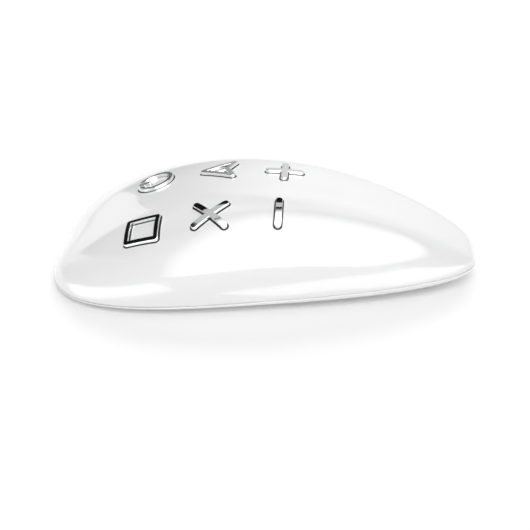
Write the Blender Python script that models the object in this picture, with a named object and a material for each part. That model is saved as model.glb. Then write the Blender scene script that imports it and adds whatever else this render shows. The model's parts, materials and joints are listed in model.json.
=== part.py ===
"""Pebble-shaped handheld motion controller, an assembly of separate pieces.

The blunt front end points to -X and the narrow tail to +X, the near long side
is -Y, and the resting plane is z = 0.  The housing is two shells that meet on
a slightly tilted parting plane.  Six chrome symbol keys stand in two rows on
the upper shell, and each one slides along the shell's own normal.
"""
import math

import bmesh
import bpy
import numpy as np
from mathutils import Matrix, Vector

MM = 0.001

# Housing form
LENGTH = 130.0 * MM            # nose to tail, along X
WIDTH = 65.7 * MM              # at mid length, across both sides of the crest
CREST_OFFSET = 3.35 * MM       # how far the crest line lies towards the near side
HEIGHT = 29.6 * MM             # crown of the upper shell above the resting plane
RIM_HEIGHT = 4.0 * MM          # parting plane at mid length
RIM_RISE = 0.5                 # share by which the parting plane rises to the tail
TAPER = 0.36                   # narrowing of the plan from nose to tail
PLAN_POWER = 2.9               # superellipse power of the plan outline
CROWN_TILT = -0.09             # first-order change of crest height along the length
CROWN_DROP = -0.33             # second-order change of crest height along the length
SIDE_POWER = 3.0               # cross-section: power of the sideways distance
TOP_POWER = 2.75               # cross-section: power of the height
BASE_SCALE = 0.56              # flat of the underside as a share of the plan
BASE_LIFT = 0.4 * MM           # underside above the resting plane, beside the pad

# Walls and seams
WALL = 2.0 * MM                # upper shell
FLOOR = 1.8 * MM               # lower shell under the boards
SEAM = 0.3 * MM                # visible gap between the two shells
LIP_HEIGHT = 1.2 * MM          # locating lip of the lower shell inside the upper one
LIP_WALL = 1.2 * MM
LIP_CLEARANCE = 0.6 * MM
CAVITY_SCALE = 0.8             # floor of the lower cavity as a share of the plan
SEAT = 0.15 * MM               # gap left where one piece rests on another
PAD_THICKNESS = 1.0 * MM       # non-slip pad let into the underside
PAD_SCALE = 0.5

# Keys
KEY_SETBACK = 30.0 * MM        # first key column behind the nose
KEY_PITCH = 20.3 * MM          # from column to column
NEAR_ROW_INSET = 11.3 * MM     # near row from the near side, at the middle column
ROW_PITCH = 27.1 * MM          # between the rows, at the middle column
NEAR_ROW_SLOPE = 0.082         # the rows close up towards the tail
FAR_ROW_SLOPE = -0.066
KEY_TURN = math.radians(1.2)   # symbols turned about their own normals
GLYPH = 11.8 * MM              # overall size of a symbol
OUTLINE_STROKE = 1.5 * MM      # stroke of the outline symbols
BAR_STROKE = 2.1 * MM          # stroke of the solid symbols
GLYPH_CORNER = 1.0 * MM
CAP_RISE = 0.95 * MM           # symbol above the shell
KEY_CLEARANCE = 0.25 * MM      # symbol to the edge of its opening
ISLAND_CLEARANCE = 0.15 * MM   # symbol to the white island inside it
KEY_TRAVEL = 0.6 * MM
FLANGE_CLEARANCE = 0.3 * MM    # flange to the inside of the shell
FLANGE_MARGIN = 0.8 * MM       # flange beyond the opening
FLANGE = 1.0 * MM
STEM_LENGTH = 1.0 * MM
STEM_RADIUS = 1.8 * MM

# Tactile switches
SWITCH_SIZE = 6.0 * MM
SWITCH_HEIGHT = 2.4 * MM
ACTUATOR_RADIUS = 1.5 * MM
ACTUATOR_RISE = 0.85 * MM      # actuator above its switch, more than the travel
ACTUATOR_DEPTH = 0.9 * MM      # actuator inside its switch
ACTUATOR_CLEARANCE = 0.2 * MM
CARRIER = 1.4 * MM             # thickness of the switch carrier
CARRIER_PAD = 8.5 * MM
CARRIER_BEAM = 5.0 * MM
EAR_RADIUS = 3.0 * MM
EAR_GAP = 1.6 * MM             # far ears to the flanges of the far row

# Screws and bosses
SCREW_RADIUS = 1.0 * MM
SCREW_CLEARANCE = 0.2 * MM
HEAD_RADIUS = 1.8 * MM
HEAD_HEIGHT = 1.2 * MM
HEAD_CLEARANCE = 0.3 * MM
BOSS_RADIUS = 2.4 * MM
CASE_SCREW_LENGTH = 9.0 * MM
FRONT_BOSS_SETBACK = 18.0 * MM
FRONT_BOSS_HALF_SPAN = 20.0 * MM
REAR_BOSS_SETBACK = 24.0 * MM
REAR_BOSS_HALF_SPAN = 11.0 * MM
BOSS_JOIN = 6.0 * MM           # height at which lower and upper bosses meet

# Main board and its parts
BOARD = 1.0 * MM
BOARD_STANDOFF = 2.0 * MM
BOARD_SIDE_CLEARANCE = 3.3 * MM    # board to the side of the lower cavity's floor
BOARD_SCREW_INSET = 3.0 * MM
PART_SPACING = 1.0 * MM        # shield can to the ribbon's plug
SHIELD = (15.0 * MM, 13.0 * MM, 1.8 * MM)
SHIELD_WALL = 0.3 * MM
SENSOR = (3.0 * MM, 3.0 * MM, 0.9 * MM)
CHARGER = (4.0 * MM, 4.0 * MM, 0.9 * MM)
BATTERY_PLUG = (5.0 * MM, 6.0 * MM, 2.2 * MM)
RIBBON_PLUG = (2.6 * MM, 9.4 * MM, 1.8 * MM)
RIBBON = (8.0 * MM, 0.2 * MM)  # width and thickness
RIBBON_BEND = 3.5 * MM

# Battery and charging
BATTERY_LENGTH = 28.0 * MM
BATTERY_HEIGHT = 7.0 * MM
TRAY_SIDE_CLEARANCE = 0.3 * MM # tray to the side of the lower cavity's floor
TRAY_WALL = 0.8 * MM
TRAY_DEPTH = 3.0 * MM
COIL_OUTER = 13.0 * MM
COIL_INNER = 6.0 * MM
COIL_HEIGHT = 0.8 * MM
FERRITE = 0.5 * MM
LEAD_RADIUS = 0.7 * MM

# Vibration motor
MOTOR_SETBACK = 16.0 * MM
MOTOR_RADIUS = 3.0 * MM
MOTOR_LENGTH = 12.0 * MM
MOTOR_CLEARANCE = 0.15 * MM
SHAFT_RADIUS = 0.5 * MM
SHAFT_CLEARANCE = 0.1 * MM
WEIGHT_RADIUS = 3.2 * MM
WEIGHT_LENGTH = 4.0 * MM
CRADLE_LENGTH = 9.0 * MM

# Fineness of the round shapes
RING_POINTS = 56
DOME_RINGS = 11
UNDER_RINGS = 5
CORNER_STEPS = 3
ROUND = 16

# Places that follow from the values above
HALF_LENGTH = LENGTH / 2
NEAR_HALF = WIDTH / 2 - CREST_OFFSET
FAR_HALF = WIDTH / 2 + CREST_OFFSET
FLOOR_TOP = BASE_LIFT + FLOOR
COLLAR_RADIUS = HEAD_RADIUS + HEAD_CLEARANCE + LIP_WALL    # around a sunk screw head
STEP = 0.05 * MM               # small distance used to measure a slope


def plan_width(x, near, inset=0.0):
    """Half width of the housing at x, on the near or the far side."""
    half = np.where(near, NEAR_HALF, FAR_HALF) - inset
    share = np.clip(x / (HALF_LENGTH - inset), -1, 1)
    return half * (1 - np.abs(share) ** PLAN_POWER) ** (1 / PLAN_POWER) * (1 - TAPER * share)


def spine_shift():
    """Y of the crest line that puts the middle of the plan at y = 0."""
    x = np.linspace(-HALF_LENGTH, HALF_LENGTH, 2001)
    return (plan_width(x, True).max() - plan_width(x, False).max()) / 2


SPINE_Y = spine_shift()


def plan_outline(turns, scale=1.0, inset=0.0):
    """Points of the plan outline, as x and y, for an array of angles."""
    cosine, sine = np.cos(turns), np.sin(turns)
    radius = (np.abs(cosine) ** PLAN_POWER + np.abs(sine) ** PLAN_POWER) ** (-1 / PLAN_POWER)
    half = np.where(sine < 0, NEAR_HALF, FAR_HALF) - inset
    x = (HALF_LENGTH - inset) * radius * cosine
    y = half * radius * sine * (1 - TAPER * radius * cosine)
    return scale * x, scale * y + SPINE_Y


def rim_height(x):
    """Height of the tilted parting plane."""
    return RIM_HEIGHT * (1 + RIM_RISE * x / HALF_LENGTH)


def dome_height(x, y, inset=0.0):
    """Height of the upper shell's outside, or of its inside with the wall as inset."""
    sideways = y - SPINE_Y
    share = np.clip(x / (HALF_LENGTH - inset), -1, 1)
    ridge = np.sqrt(1 - share ** 2) * (1 + CROWN_TILT * share + CROWN_DROP * share ** 2)
    across = np.abs(sideways) / np.maximum(plan_width(x, sideways < 0, inset), STEP)
    swell = (1 - np.clip(across, 0, 1) ** SIDE_POWER) ** (1 / TOP_POWER)
    return rim_height(x) + (HEIGHT - RIM_HEIGHT - inset) * ridge * swell


def floor_half_width(x):
    """Half width of the lower cavity's floor at x that is free on both sides of y = 0."""
    near = CAVITY_SCALE * plan_width(x / CAVITY_SCALE, True) - SPINE_Y
    far = CAVITY_SCALE * plan_width(x / CAVITY_SCALE, False) + SPINE_Y
    return float(np.minimum(near, far))


def underside_height(x, y):
    """Height of the lower shell's outside over a point of the plan."""
    sideways = y - SPINE_Y
    half = NEAR_HALF if sideways < 0 else FAR_HALF
    scale = 1.0
    for _ in range(30):
        share = x / (HALF_LENGTH * scale)
        across = abs(sideways) / (half * (1 - TAPER * share))
        scale = (abs(x / HALF_LENGTH) ** PLAN_POWER + across ** PLAN_POWER) ** (1 / PLAN_POWER)
    cosine = max(0.0, (scale - BASE_SCALE) / (1 - BASE_SCALE))
    rim = rim_height(x / scale) - SEAM
    return BASE_LIFT + (rim - BASE_LIFT) * (1 - math.sqrt(1 - min(cosine, 1.0) ** 2))


def underside_peak(x, y, radius):
    """Highest level of the underside within a circle."""
    turns = np.linspace(0, 2 * np.pi, ROUND)
    return max(underside_height(x + radius * math.cos(t), y + radius * math.sin(t)) for t in turns)


def surface_frame(x, y):
    """Local frame on the upper shell: origin on it, Z along its outward normal."""
    slope_x = (dome_height(x + STEP, y) - dome_height(x - STEP, y)) / (2 * STEP)
    slope_y = (dome_height(x, y + STEP) - dome_height(x, y - STEP)) / (2 * STEP)
    normal = Vector((-slope_x, -slope_y, 1)).normalized()
    heading = Vector((math.cos(KEY_TURN), math.sin(KEY_TURN), 0))
    along = (heading - normal * heading.dot(normal)).normalized()
    frame = Matrix((along, normal.cross(along), normal)).transposed().to_4x4()
    frame.translation = (x, y, float(dome_height(x, y)))
    return frame


def clear_scene():
    for item in list(bpy.data.objects):
        bpy.data.objects.remove(item, do_unlink=True)


def make_material(name, colour, roughness, metallic=0.0):
    made = bpy.data.materials.new(name)
    made.use_nodes = True
    shader = made.node_tree.nodes["Principled BSDF"]
    shader.inputs["Base Color"].default_value = (*colour, 1.0)
    shader.inputs["Roughness"].default_value = roughness
    shader.inputs["Metallic"].default_value = metallic
    return made


def add_object(name, shape, material, place=None, parent=None):
    """Turn a bmesh into a named object, shaded smooth except at its edges."""
    bmesh.ops.recalc_face_normals(shape, faces=shape.faces)
    mesh = bpy.data.meshes.new(name)
    shape.to_mesh(mesh)
    shape.free()
    mesh.shade_smooth()
    mesh.set_sharp_from_angle(angle=math.radians(35))
    if material:
        mesh.materials.append(material)
    made = bpy.data.objects.new(name, mesh)
    bpy.context.scene.collection.objects.link(made)
    made.parent = parent
    if place is not None:
        made.matrix_local = place
    return made


def copy_object(name, source, place):
    """Another object that shares its mesh with the source."""
    made = bpy.data.objects.new(name, source.data)
    bpy.context.scene.collection.objects.link(made)
    made.matrix_local = place
    return made


def add_tool(name, shape, place=None, parent=None):
    """Hidden shape that a Boolean modifier uses."""
    tool = add_object(name, shape, None, place, parent)
    tool.hide_render = True
    tool.display_type = "WIRE"
    return tool


def combine(target, operation, shape, place=None, parent=None):
    """Add a Boolean modifier that joins or cuts the target with a shape."""
    label = f"{target.name}_{operation.lower()}_{len(target.modifiers)}"
    modifier = target.modifiers.new(label, "BOOLEAN")
    modifier.operation = operation
    modifier.solver = "EXACT"
    modifier.object = add_tool(label, shape, place, parent)


def at(x, y, z):
    return Matrix.Translation((x, y, z))


def add_prism(shape, points, bottom, top, place=None):
    """Straight prism on a closed outline of (x, y) points."""
    place = place or Matrix()
    low = [shape.verts.new(place @ Vector((x, y, bottom))) for x, y in points]
    high = [shape.verts.new(place @ Vector((x, y, top))) for x, y in points]
    shape.faces.new(low[::-1])
    shape.faces.new(high)
    for i in range(len(points)):
        j = (i + 1) % len(points)
        shape.faces.new((low[i], low[j], high[j], high[i]))
    return shape


def prism(points, bottom, top, place=None):
    return add_prism(bmesh.new(), points, bottom, top, place)


def ring_prism(outer, inner, bottom, top):
    """Prism between two outlines that have the same number of points."""
    shape = bmesh.new()
    rings = []
    for points, z in ((outer, bottom), (outer, top), (inner, top), (inner, bottom)):
        rings.append([shape.verts.new((x, y, z)) for x, y in points])
    for k in range(4):
        lower, upper = rings[k], rings[(k + 1) % 4]
        for i in range(len(outer)):
            j = (i + 1) % len(outer)
            shape.faces.new((lower[i], lower[j], upper[j], upper[i]))
    return shape


def rectangle(length, width, x=0.0, y=0.0):
    a, b = length / 2, width / 2
    return [(x - a, y - b), (x + a, y - b), (x + a, y + b), (x - a, y + b)]


def circle(radius, x=0.0, y=0.0, steps=ROUND):
    turns = [2 * math.pi * i / steps for i in range(steps)]
    return [(x + radius * math.cos(t), y + radius * math.sin(t)) for t in turns]


def box(size, x, y, bottom):
    """Block with its base at the given height."""
    return prism(rectangle(size[0], size[1], x, y), bottom, bottom + size[2])


def stepped_round(levels):
    """Turned solid on Z: levels are (radius, bottom, top), each on the last one."""
    shape = bmesh.new()
    rings = []
    for radius, bottom, top in levels:
        for z in (bottom, top):
            rings.append([shape.verts.new((x, y, z)) for x, y in circle(radius)])
    for lower, upper in zip(rings, rings[1:]):
        for i in range(ROUND):
            j = (i + 1) % ROUND
            shape.faces.new((lower[i], lower[j], upper[j], upper[i]))
    shape.faces.new(rings[0][::-1])
    shape.faces.new(rings[-1])
    return shape


def loft(rings):
    """Closed solid through equal rings of points; each end is capped by a fan."""
    shape = bmesh.new()
    made = [[shape.verts.new(point) for point in ring] for ring in rings]
    for lower, upper in zip(made, made[1:]):
        for i in range(len(lower)):
            j = (i + 1) % len(lower)
            shape.faces.new((lower[i], lower[j], upper[j], upper[i]))
    for ring in (made[0], made[-1]):
        hub = shape.verts.new(sum((vertex.co for vertex in ring), Vector()) / len(ring))
        for i in range(len(ring)):
            shape.faces.new((ring[i], ring[(i + 1) % len(ring)], hub))
    return shape


def ring_turns():
    return np.arange(RING_POINTS) * 2 * np.pi / RING_POINTS


def ring_at(scale, inset, height):
    """Ring of points over the scaled outline; height is a function of x and y."""
    x, y = plan_outline(ring_turns(), scale, inset)
    return np.stack([x, y, height(x, y) + 0 * x], axis=1)


def dome_rings(inset):
    """Rings of the upper shell from near the crown down to the parting plane."""
    rings = []
    for step in range(1, DOME_RINGS + 1):
        lean = math.pi / 2 * step / DOME_RINGS
        scale = math.sin(lean) ** (2 / SIDE_POWER)
        if step == DOME_RINGS:
            rings.append(ring_at(1.0, inset, lambda x, y: rim_height(x)))
        else:
            rings.append(ring_at(scale, inset, lambda x, y: dome_height(x, y, inset)))
    return rings


def case_boss_places():
    """Plan positions of the four bosses that the case screws run through."""
    front, rear = -HALF_LENGTH + FRONT_BOSS_SETBACK, HALF_LENGTH - REAR_BOSS_SETBACK
    return [(front, -FRONT_BOSS_HALF_SPAN), (front, FRONT_BOSS_HALF_SPAN),
            (rear, -REAR_BOSS_HALF_SPAN), (rear, REAR_BOSS_HALF_SPAN)]


def head_seat(x, y):
    """Level under a case screw's head, deep enough to sink the head in the underside."""
    return underside_peak(x, y, HEAD_RADIUS + HEAD_CLEARANCE) + HEAD_HEIGHT + SEAT


def boss_top(x, y, radius):
    """Highest level at which a round post still ends inside the shell's wall."""
    turns = np.linspace(0, 2 * np.pi, ROUND)
    edge = dome_height(x + radius * np.cos(turns), y + radius * np.sin(turns))
    return float(edge.min()) - WALL / 2


def rounded(corners, grow=0.0, radius=0.0):
    """Outline with its edges moved outwards by grow and its outer corners rounded.

    Corners run anticlockwise as (x, y).  An inner corner keeps one sharp point.
    """
    count = len(corners)
    moved = []
    turns = []
    for i in range(count):
        before, here, after = (Vector(corners[k % count]) for k in (i - 1, i, i + 1))
        into, out = (here - before).normalized(), (after - here).normalized()
        turn = into.x * out.y - into.y * out.x
        side_in, side_out = Vector((into.y, -into.x)), Vector((out.y, -out.x))
        moved.append(here + (side_in + side_out) * grow / (1 + side_in.dot(side_out)))
        turns.append(turn)
    points = []
    for i in range(count):
        before, here, after = (moved[k % count] for k in (i - 1, i, i + 1))
        into, out = (here - before).normalized(), (after - here).normalized()
        if turns[i] <= 0 or radius <= 0:
            points.append((here.x, here.y))
            continue
        half_turn = math.acos(max(-1.0, min(1.0, into.dot(out)))) / 2
        centre = here - (into - out).normalized() * radius / math.cos(half_turn)
        start = math.atan2(-into.x, into.y)
        for step in range(CORNER_STEPS + 1):
            angle = start + 2 * half_turn * step / CORNER_STEPS
            points.append((centre.x + radius * math.cos(angle), centre.y + radius * math.sin(angle)))
    return points


def square_corners():
    half = 0.93 * GLYPH / 2
    return [(-half, -half), (half, -half), (half, half), (-half, half)]


def pointer_corners():
    """Navigation arrow with a notched base; its rounded tips end at the symbol's size."""
    half = GLYPH / 2
    tip = half + 1.2 * GLYPH_CORNER
    return [(-tip, 0.0), (1.08 * half, -tip), (0.55 * half, 0.0), (1.08 * half, tip)]


def crossed_corners(reach, turn):
    """Two equal bars that cross at right angles."""
    half = BAR_STROKE / 2
    points = []
    for quarter in range(4):
        angle = turn + quarter * math.pi / 2
        for x, y in ((half, -half), (reach, -half), (reach, half)):
            points.append((x * math.cos(angle) - y * math.sin(angle),
                           x * math.sin(angle) + y * math.cos(angle)))
    return points


def minus_corners():
    return rectangle(BAR_STROKE, GLYPH)


OUTLINED = {"square": square_corners(), "pointer": pointer_corners()}
BARS = {"cross": crossed_corners(0.62 * GLYPH, math.pi / 4),
        "minus": minus_corners(),
        "plus": crossed_corners(GLYPH / 2, 0.0)}

POWER_BAR_INNER = 1.4 * MM     # end of the power symbol's bar nearest the centre
POWER_TAB = 0.8 * MM           # white tab between the bar and the end of the arc


def power_gap(radius, margin):
    """Half angle of the power symbol's gap at a radius, less a margin."""
    half = OUTLINE_STROKE / 2 + 2 * ISLAND_CLEARANCE + POWER_TAB - margin
    return math.asin(half / radius)


def arc(radius, start, end, steps):
    return [(radius * math.cos(start + (end - start) * i / steps),
             radius * math.sin(start + (end - start) * i / steps)) for i in range(steps + 1)]


def power_arc():
    """Ring of the power symbol, open towards -X."""
    outer, inner = GLYPH / 2, GLYPH / 2 - OUTLINE_STROKE
    gap_out, gap_in = power_gap(outer, 0.0), power_gap(inner, 0.0)
    return (arc(outer, -math.pi + gap_out, math.pi - gap_out, 2 * ROUND)
            + arc(inner, math.pi - gap_in, -math.pi + gap_in, 2 * ROUND))


def power_bar(grow=0.0):
    outer = GLYPH / 2
    corners = rectangle(outer - POWER_BAR_INNER, OUTLINE_STROKE, -(outer + POWER_BAR_INNER) / 2)
    return rounded(corners, grow, 0.5 * MM + grow)


def power_island():
    """White island inside the power symbol, with two tabs beside the bar's slot."""
    inner = GLYPH / 2 - OUTLINE_STROKE - ISLAND_CLEARANCE
    outer = GLYPH / 2
    slot = OUTLINE_STROKE / 2 + ISLAND_CLEARANCE
    end = -(POWER_BAR_INNER - ISLAND_CLEARANCE)
    gap_in, gap_out = power_gap(inner, ISLAND_CLEARANCE), power_gap(outer, ISLAND_CLEARANCE)
    tab = math.sqrt(outer ** 2 - slot ** 2)
    tip = (outer * math.cos(gap_out), outer * math.sin(gap_out))
    return (arc(inner, -math.pi + gap_in, math.pi - gap_in, 2 * ROUND)
            + [(-tip[0], tip[1]), (-tab, slot), (end, slot), (end, -slot), (-tab, -slot),
               (-tip[0], -tip[1])])


def key_outline(kind, grow):
    """Outer outline of a symbol, grown by a distance."""
    if kind == "power":
        return circle(GLYPH / 2 + grow, steps=2 * ROUND)
    corners = OUTLINED.get(kind) or BARS[kind]
    return rounded(corners, grow, GLYPH_CORNER + grow)


def key_places():
    """Name and plan position of each key."""
    first = -HALF_LENGTH + KEY_SETBACK
    near = SPINE_Y - NEAR_HALF + NEAR_ROW_INSET
    places = {}
    for column, (near_kind, far_kind) in enumerate((("square", "power"), ("cross", "pointer"),
                                                    ("minus", "plus"))):
        along = KEY_PITCH * (column - 1)
        x = first + KEY_PITCH * column
        places[near_kind] = (x, near + NEAR_ROW_SLOPE * along)
        places[far_kind] = (x, near + ROW_PITCH + FAR_ROW_SLOPE * along)
    return places


def key_levels(kind, frame):
    """Levels of one key's pieces below the outside of the shell, along its normal."""
    normal = frame.col[2].to_3d()
    deepest = 0.0
    for u, v in key_outline(kind, KEY_CLEARANCE + FLANGE_MARGIN):
        start = frame @ Vector((u, v, 0))
        depth = 0.0
        for _ in range(12):
            point = start - normal * depth
            depth += (point.z - float(dome_height(point.x, point.y, WALL))) * normal.z
        deepest = max(deepest, depth)
    levels = {"flange_top": -(deepest + FLANGE_CLEARANCE)}
    levels["flange_bottom"] = levels["flange_top"] - FLANGE
    levels["stem_bottom"] = levels["flange_bottom"] - STEM_LENGTH
    levels["actuator_top"] = levels["stem_bottom"] - SEAT
    levels["switch_top"] = levels["actuator_top"] - ACTUATOR_RISE
    levels["switch_bottom"] = levels["switch_top"] - SWITCH_HEIGHT
    levels["carrier_top"] = levels["switch_bottom"] - SEAT
    return levels


def make_upper_shell(paint, keys, ears):
    """Domed shell with its screw posts and the six key openings."""
    shape = bmesh.new()
    outer = [[shape.verts.new(point) for point in ring] for ring in dome_rings(0.0)]
    inner = [[shape.verts.new(point) for point in ring] for ring in dome_rings(WALL)]
    for rings, inset in ((outer, 0.0), (inner, WALL)):
        hub = shape.verts.new((0.0, SPINE_Y, float(dome_height(0.0, SPINE_Y, inset))))
        for i in range(RING_POINTS):
            shape.faces.new((rings[0][i], rings[0][(i + 1) % RING_POINTS], hub))
        for lower, upper in zip(rings, rings[1:]):
            for i in range(RING_POINTS):
                j = (i + 1) % RING_POINTS
                shape.faces.new((lower[i], lower[j], upper[j], upper[i]))
    for i in range(RING_POINTS):
        j = (i + 1) % RING_POINTS
        shape.faces.new((outer[-1][i], outer[-1][j], inner[-1][j], inner[-1][i]))
    shell = add_object("upper_shell", shape, paint)
    posts, pilots = bmesh.new(), bmesh.new()
    for x, y in case_boss_places():
        top = boss_top(x, y, BOSS_RADIUS)
        add_prism(posts, circle(BOSS_RADIUS, x, y), BOSS_JOIN, top)
        pilot_top = head_seat(x, y) + CASE_SCREW_LENGTH + SEAT
        add_prism(pilots, circle(SCREW_RADIUS + SCREW_CLEARANCE, x, y), BOSS_JOIN - SEAM, pilot_top)
    for x, y, z in ears:
        top = boss_top(x, y, BOSS_RADIUS)
        add_prism(posts, circle(BOSS_RADIUS, x, y), z + CARRIER / 2 + SEAT, top)
        add_prism(pilots, circle(SCREW_RADIUS + SCREW_CLEARANCE, x, y), z, top - SEAT)
    combine(shell, "UNION", posts)
    combine(shell, "DIFFERENCE", pilots)
    openings = bmesh.new()
    for kind, (frame, levels) in keys.items():
        outline = key_outline(kind, KEY_CLEARANCE)
        add_prism(openings, outline, levels["flange_top"], -levels["flange_top"], frame)
    combine(shell, "DIFFERENCE", openings)


def make_lower_shell(paint, pad_paint, board):
    """Tray with a curved underside, locating lip, bosses and the pad let into it."""
    rings = []
    for step in range(UNDER_RINGS, -1, -1):
        lean = math.pi / 2 * step / UNDER_RINGS
        scale = BASE_SCALE + (1 - BASE_SCALE) * math.cos(lean)
        share = 1 - math.sin(lean)
        rings.append(ring_at(scale, 0.0, lambda x, y: BASE_LIFT
                             + (rim_height(x / scale) - SEAM - BASE_LIFT) * share))
    lip_outside = WALL + LIP_CLEARANCE
    lip_inside = lip_outside + LIP_WALL
    rings += [ring_at(1.0, lip_outside, lambda x, y: rim_height(x) - SEAM),
              ring_at(1.0, lip_outside, lambda x, y: rim_height(x) + LIP_HEIGHT),
              ring_at(1.0, lip_inside, lambda x, y: rim_height(x) + LIP_HEIGHT),
              ring_at(1.0, lip_inside, lambda x, y: np.maximum(rim_height(x), FLOOR_TOP + SEAM)),
              ring_at(CAVITY_SCALE, 0.0, lambda x, y: FLOOR_TOP)]
    shell = add_object("lower_shell", loft(rings), paint)
    collars, bosses, holes, recesses = bmesh.new(), bmesh.new(), bmesh.new(), bmesh.new()
    bore = SCREW_RADIUS + SCREW_CLEARANCE
    for x, y in case_boss_places():
        root = underside_peak(x, y, COLLAR_RADIUS) + SEAT
        add_prism(collars, circle(COLLAR_RADIUS, x, y), root, head_seat(x, y) + LIP_WALL)
        add_prism(bosses, circle(BOSS_RADIUS, x, y), head_seat(x, y) + SEAT, BOSS_JOIN - SEAT)
        add_prism(holes, circle(bore, x, y), 0.0, BOSS_JOIN + SEAM)
        add_prism(recesses, circle(HEAD_RADIUS + HEAD_CLEARANCE, x, y), 0.0, head_seat(x, y))
    for x, y in board["screws"]:
        add_prism(bosses, circle(BOSS_RADIUS, x, y), FLOOR_TOP - FLOOR / 3, board["bottom"] - SEAT)
        add_prism(holes, circle(bore, x, y), board["screw_tip"] - SEAT, board["bottom"] + SEAM)
    combine(shell, "UNION", collars)
    combine(shell, "UNION", bosses)
    combine(shell, "DIFFERENCE", holes)
    combine(shell, "DIFFERENCE", recesses)
    combine(shell, "DIFFERENCE", pad_shape(SEAT, -BASE_LIFT, PAD_THICKNESS + SEAT))
    add_object("base_pad", pad_shape(0.0, 0.0, PAD_THICKNESS), pad_paint)


def pad_shape(grow, bottom, top):
    """Prism on the pad's outline, grown by a distance."""
    x, y = plan_outline(ring_turns()[::2], PAD_SCALE, -grow / PAD_SCALE)
    return prism(list(zip(x, y)), bottom, top)


def make_screws(name, places, length, paint, downward):
    """Row of identical screws; each place is the seat under the head."""
    turn = Matrix() if downward else Matrix.Rotation(math.pi, 4, "X")
    first = None
    for number, (x, y, z) in enumerate(places, 1):
        label = f"{name}_{number}"
        place = at(x, y, z) @ turn
        if first is None:
            levels = [(SCREW_RADIUS, -length, 0.0), (HEAD_RADIUS, 0.0, HEAD_HEIGHT)]
            first = add_object(label, stepped_round(levels), paint, place)
        else:
            copy_object(label, first, place)


def make_key(kind, frame, levels, paints):
    """One key: chrome symbol, white plunger, switch actuator and switch body."""
    axis = bpy.data.objects.new(f"axis_{kind}", None)
    bpy.context.scene.collection.objects.link(axis)
    axis.matrix_world = frame
    flange_top, flange_bottom = levels["flange_top"], levels["flange_bottom"]
    cap_bottom = flange_top + SEAT
    island = None
    if kind == "power":
        cap = prism(power_arc(), cap_bottom, CAP_RISE)
        add_object("key_cap_power_bar", prism(power_bar(), cap_bottom, CAP_RISE),
                   paints["chrome"], parent=axis)
        island = power_island()
    elif kind in OUTLINED:
        inner = rounded(OUTLINED[kind], -OUTLINE_STROKE, ISLAND_CLEARANCE)
        cap = ring_prism(key_outline(kind, 0.0), inner, cap_bottom, CAP_RISE)
        island = rounded(OUTLINED[kind], -OUTLINE_STROKE - ISLAND_CLEARANCE)
    else:
        cap = prism(key_outline(kind, 0.0), cap_bottom, CAP_RISE)
    add_object(f"key_cap_{kind}", cap, paints["chrome"], parent=axis)
    flange = prism(key_outline(kind, KEY_CLEARANCE + FLANGE_MARGIN), flange_bottom, flange_top)
    plunger = add_object(f"key_plunger_{kind}", flange, paints["white"], parent=axis)
    core = flange_top - FLANGE / 2
    combine(plunger, "UNION", prism(circle(STEM_RADIUS), levels["stem_bottom"], core), parent=axis)
    if island:
        combine(plunger, "UNION", prism(island, core, -SEAT), parent=axis)
    switch_top = levels["switch_top"]
    actuator = prism(circle(ACTUATOR_RADIUS), switch_top - ACTUATOR_DEPTH, levels["actuator_top"])
    add_object(f"switch_actuator_{kind}", actuator, paints["black"], parent=axis)
    block = prism(rectangle(SWITCH_SIZE, SWITCH_SIZE), levels["switch_bottom"], switch_top)
    body = add_object(f"switch_body_{kind}", block, paints["steel"], parent=axis)
    well = prism(circle(ACTUATOR_RADIUS + ACTUATOR_CLEARANCE),
                 switch_top - ACTUATOR_DEPTH - KEY_TRAVEL - SEAT, switch_top + SEAM)
    combine(body, "DIFFERENCE", well, parent=axis)


def carrier_layout(keys):
    """Centres of the carrier's pads, and the four ears that hold it to the shell."""
    pads = {kind: frame @ Vector((0, 0, levels["carrier_top"] - CARRIER / 2))
            for kind, (frame, levels) in keys.items()}
    ears = []
    for near, far in (("square", "power"), ("minus", "plus")):
        run = pads[far] - pads[near]
        middle = (keys[near][0].translation.y + keys[far][0].translation.y) / 2
        reach = GLYPH / 2 + KEY_CLEARANCE + FLANGE_MARGIN + EAR_GAP + EAR_RADIUS
        for y in (middle, pads[far].y + reach):
            ears.append(tuple(pads[near] + run * ((y - pads[near].y) / run.y)))
    return pads, ears


def add_beam(shape, start, end):
    """Flat bar between two points, level across its width."""
    run = end - start
    along = run.normalized()
    across = Vector((0, 0, 1)).cross(along).normalized()
    place = Matrix((along, across, along.cross(across))).transposed().to_4x4()
    place.translation = (start + end) / 2
    add_prism(shape, rectangle(run.length, CARRIER_BEAM), -CARRIER / 2, CARRIER / 2, place)


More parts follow.
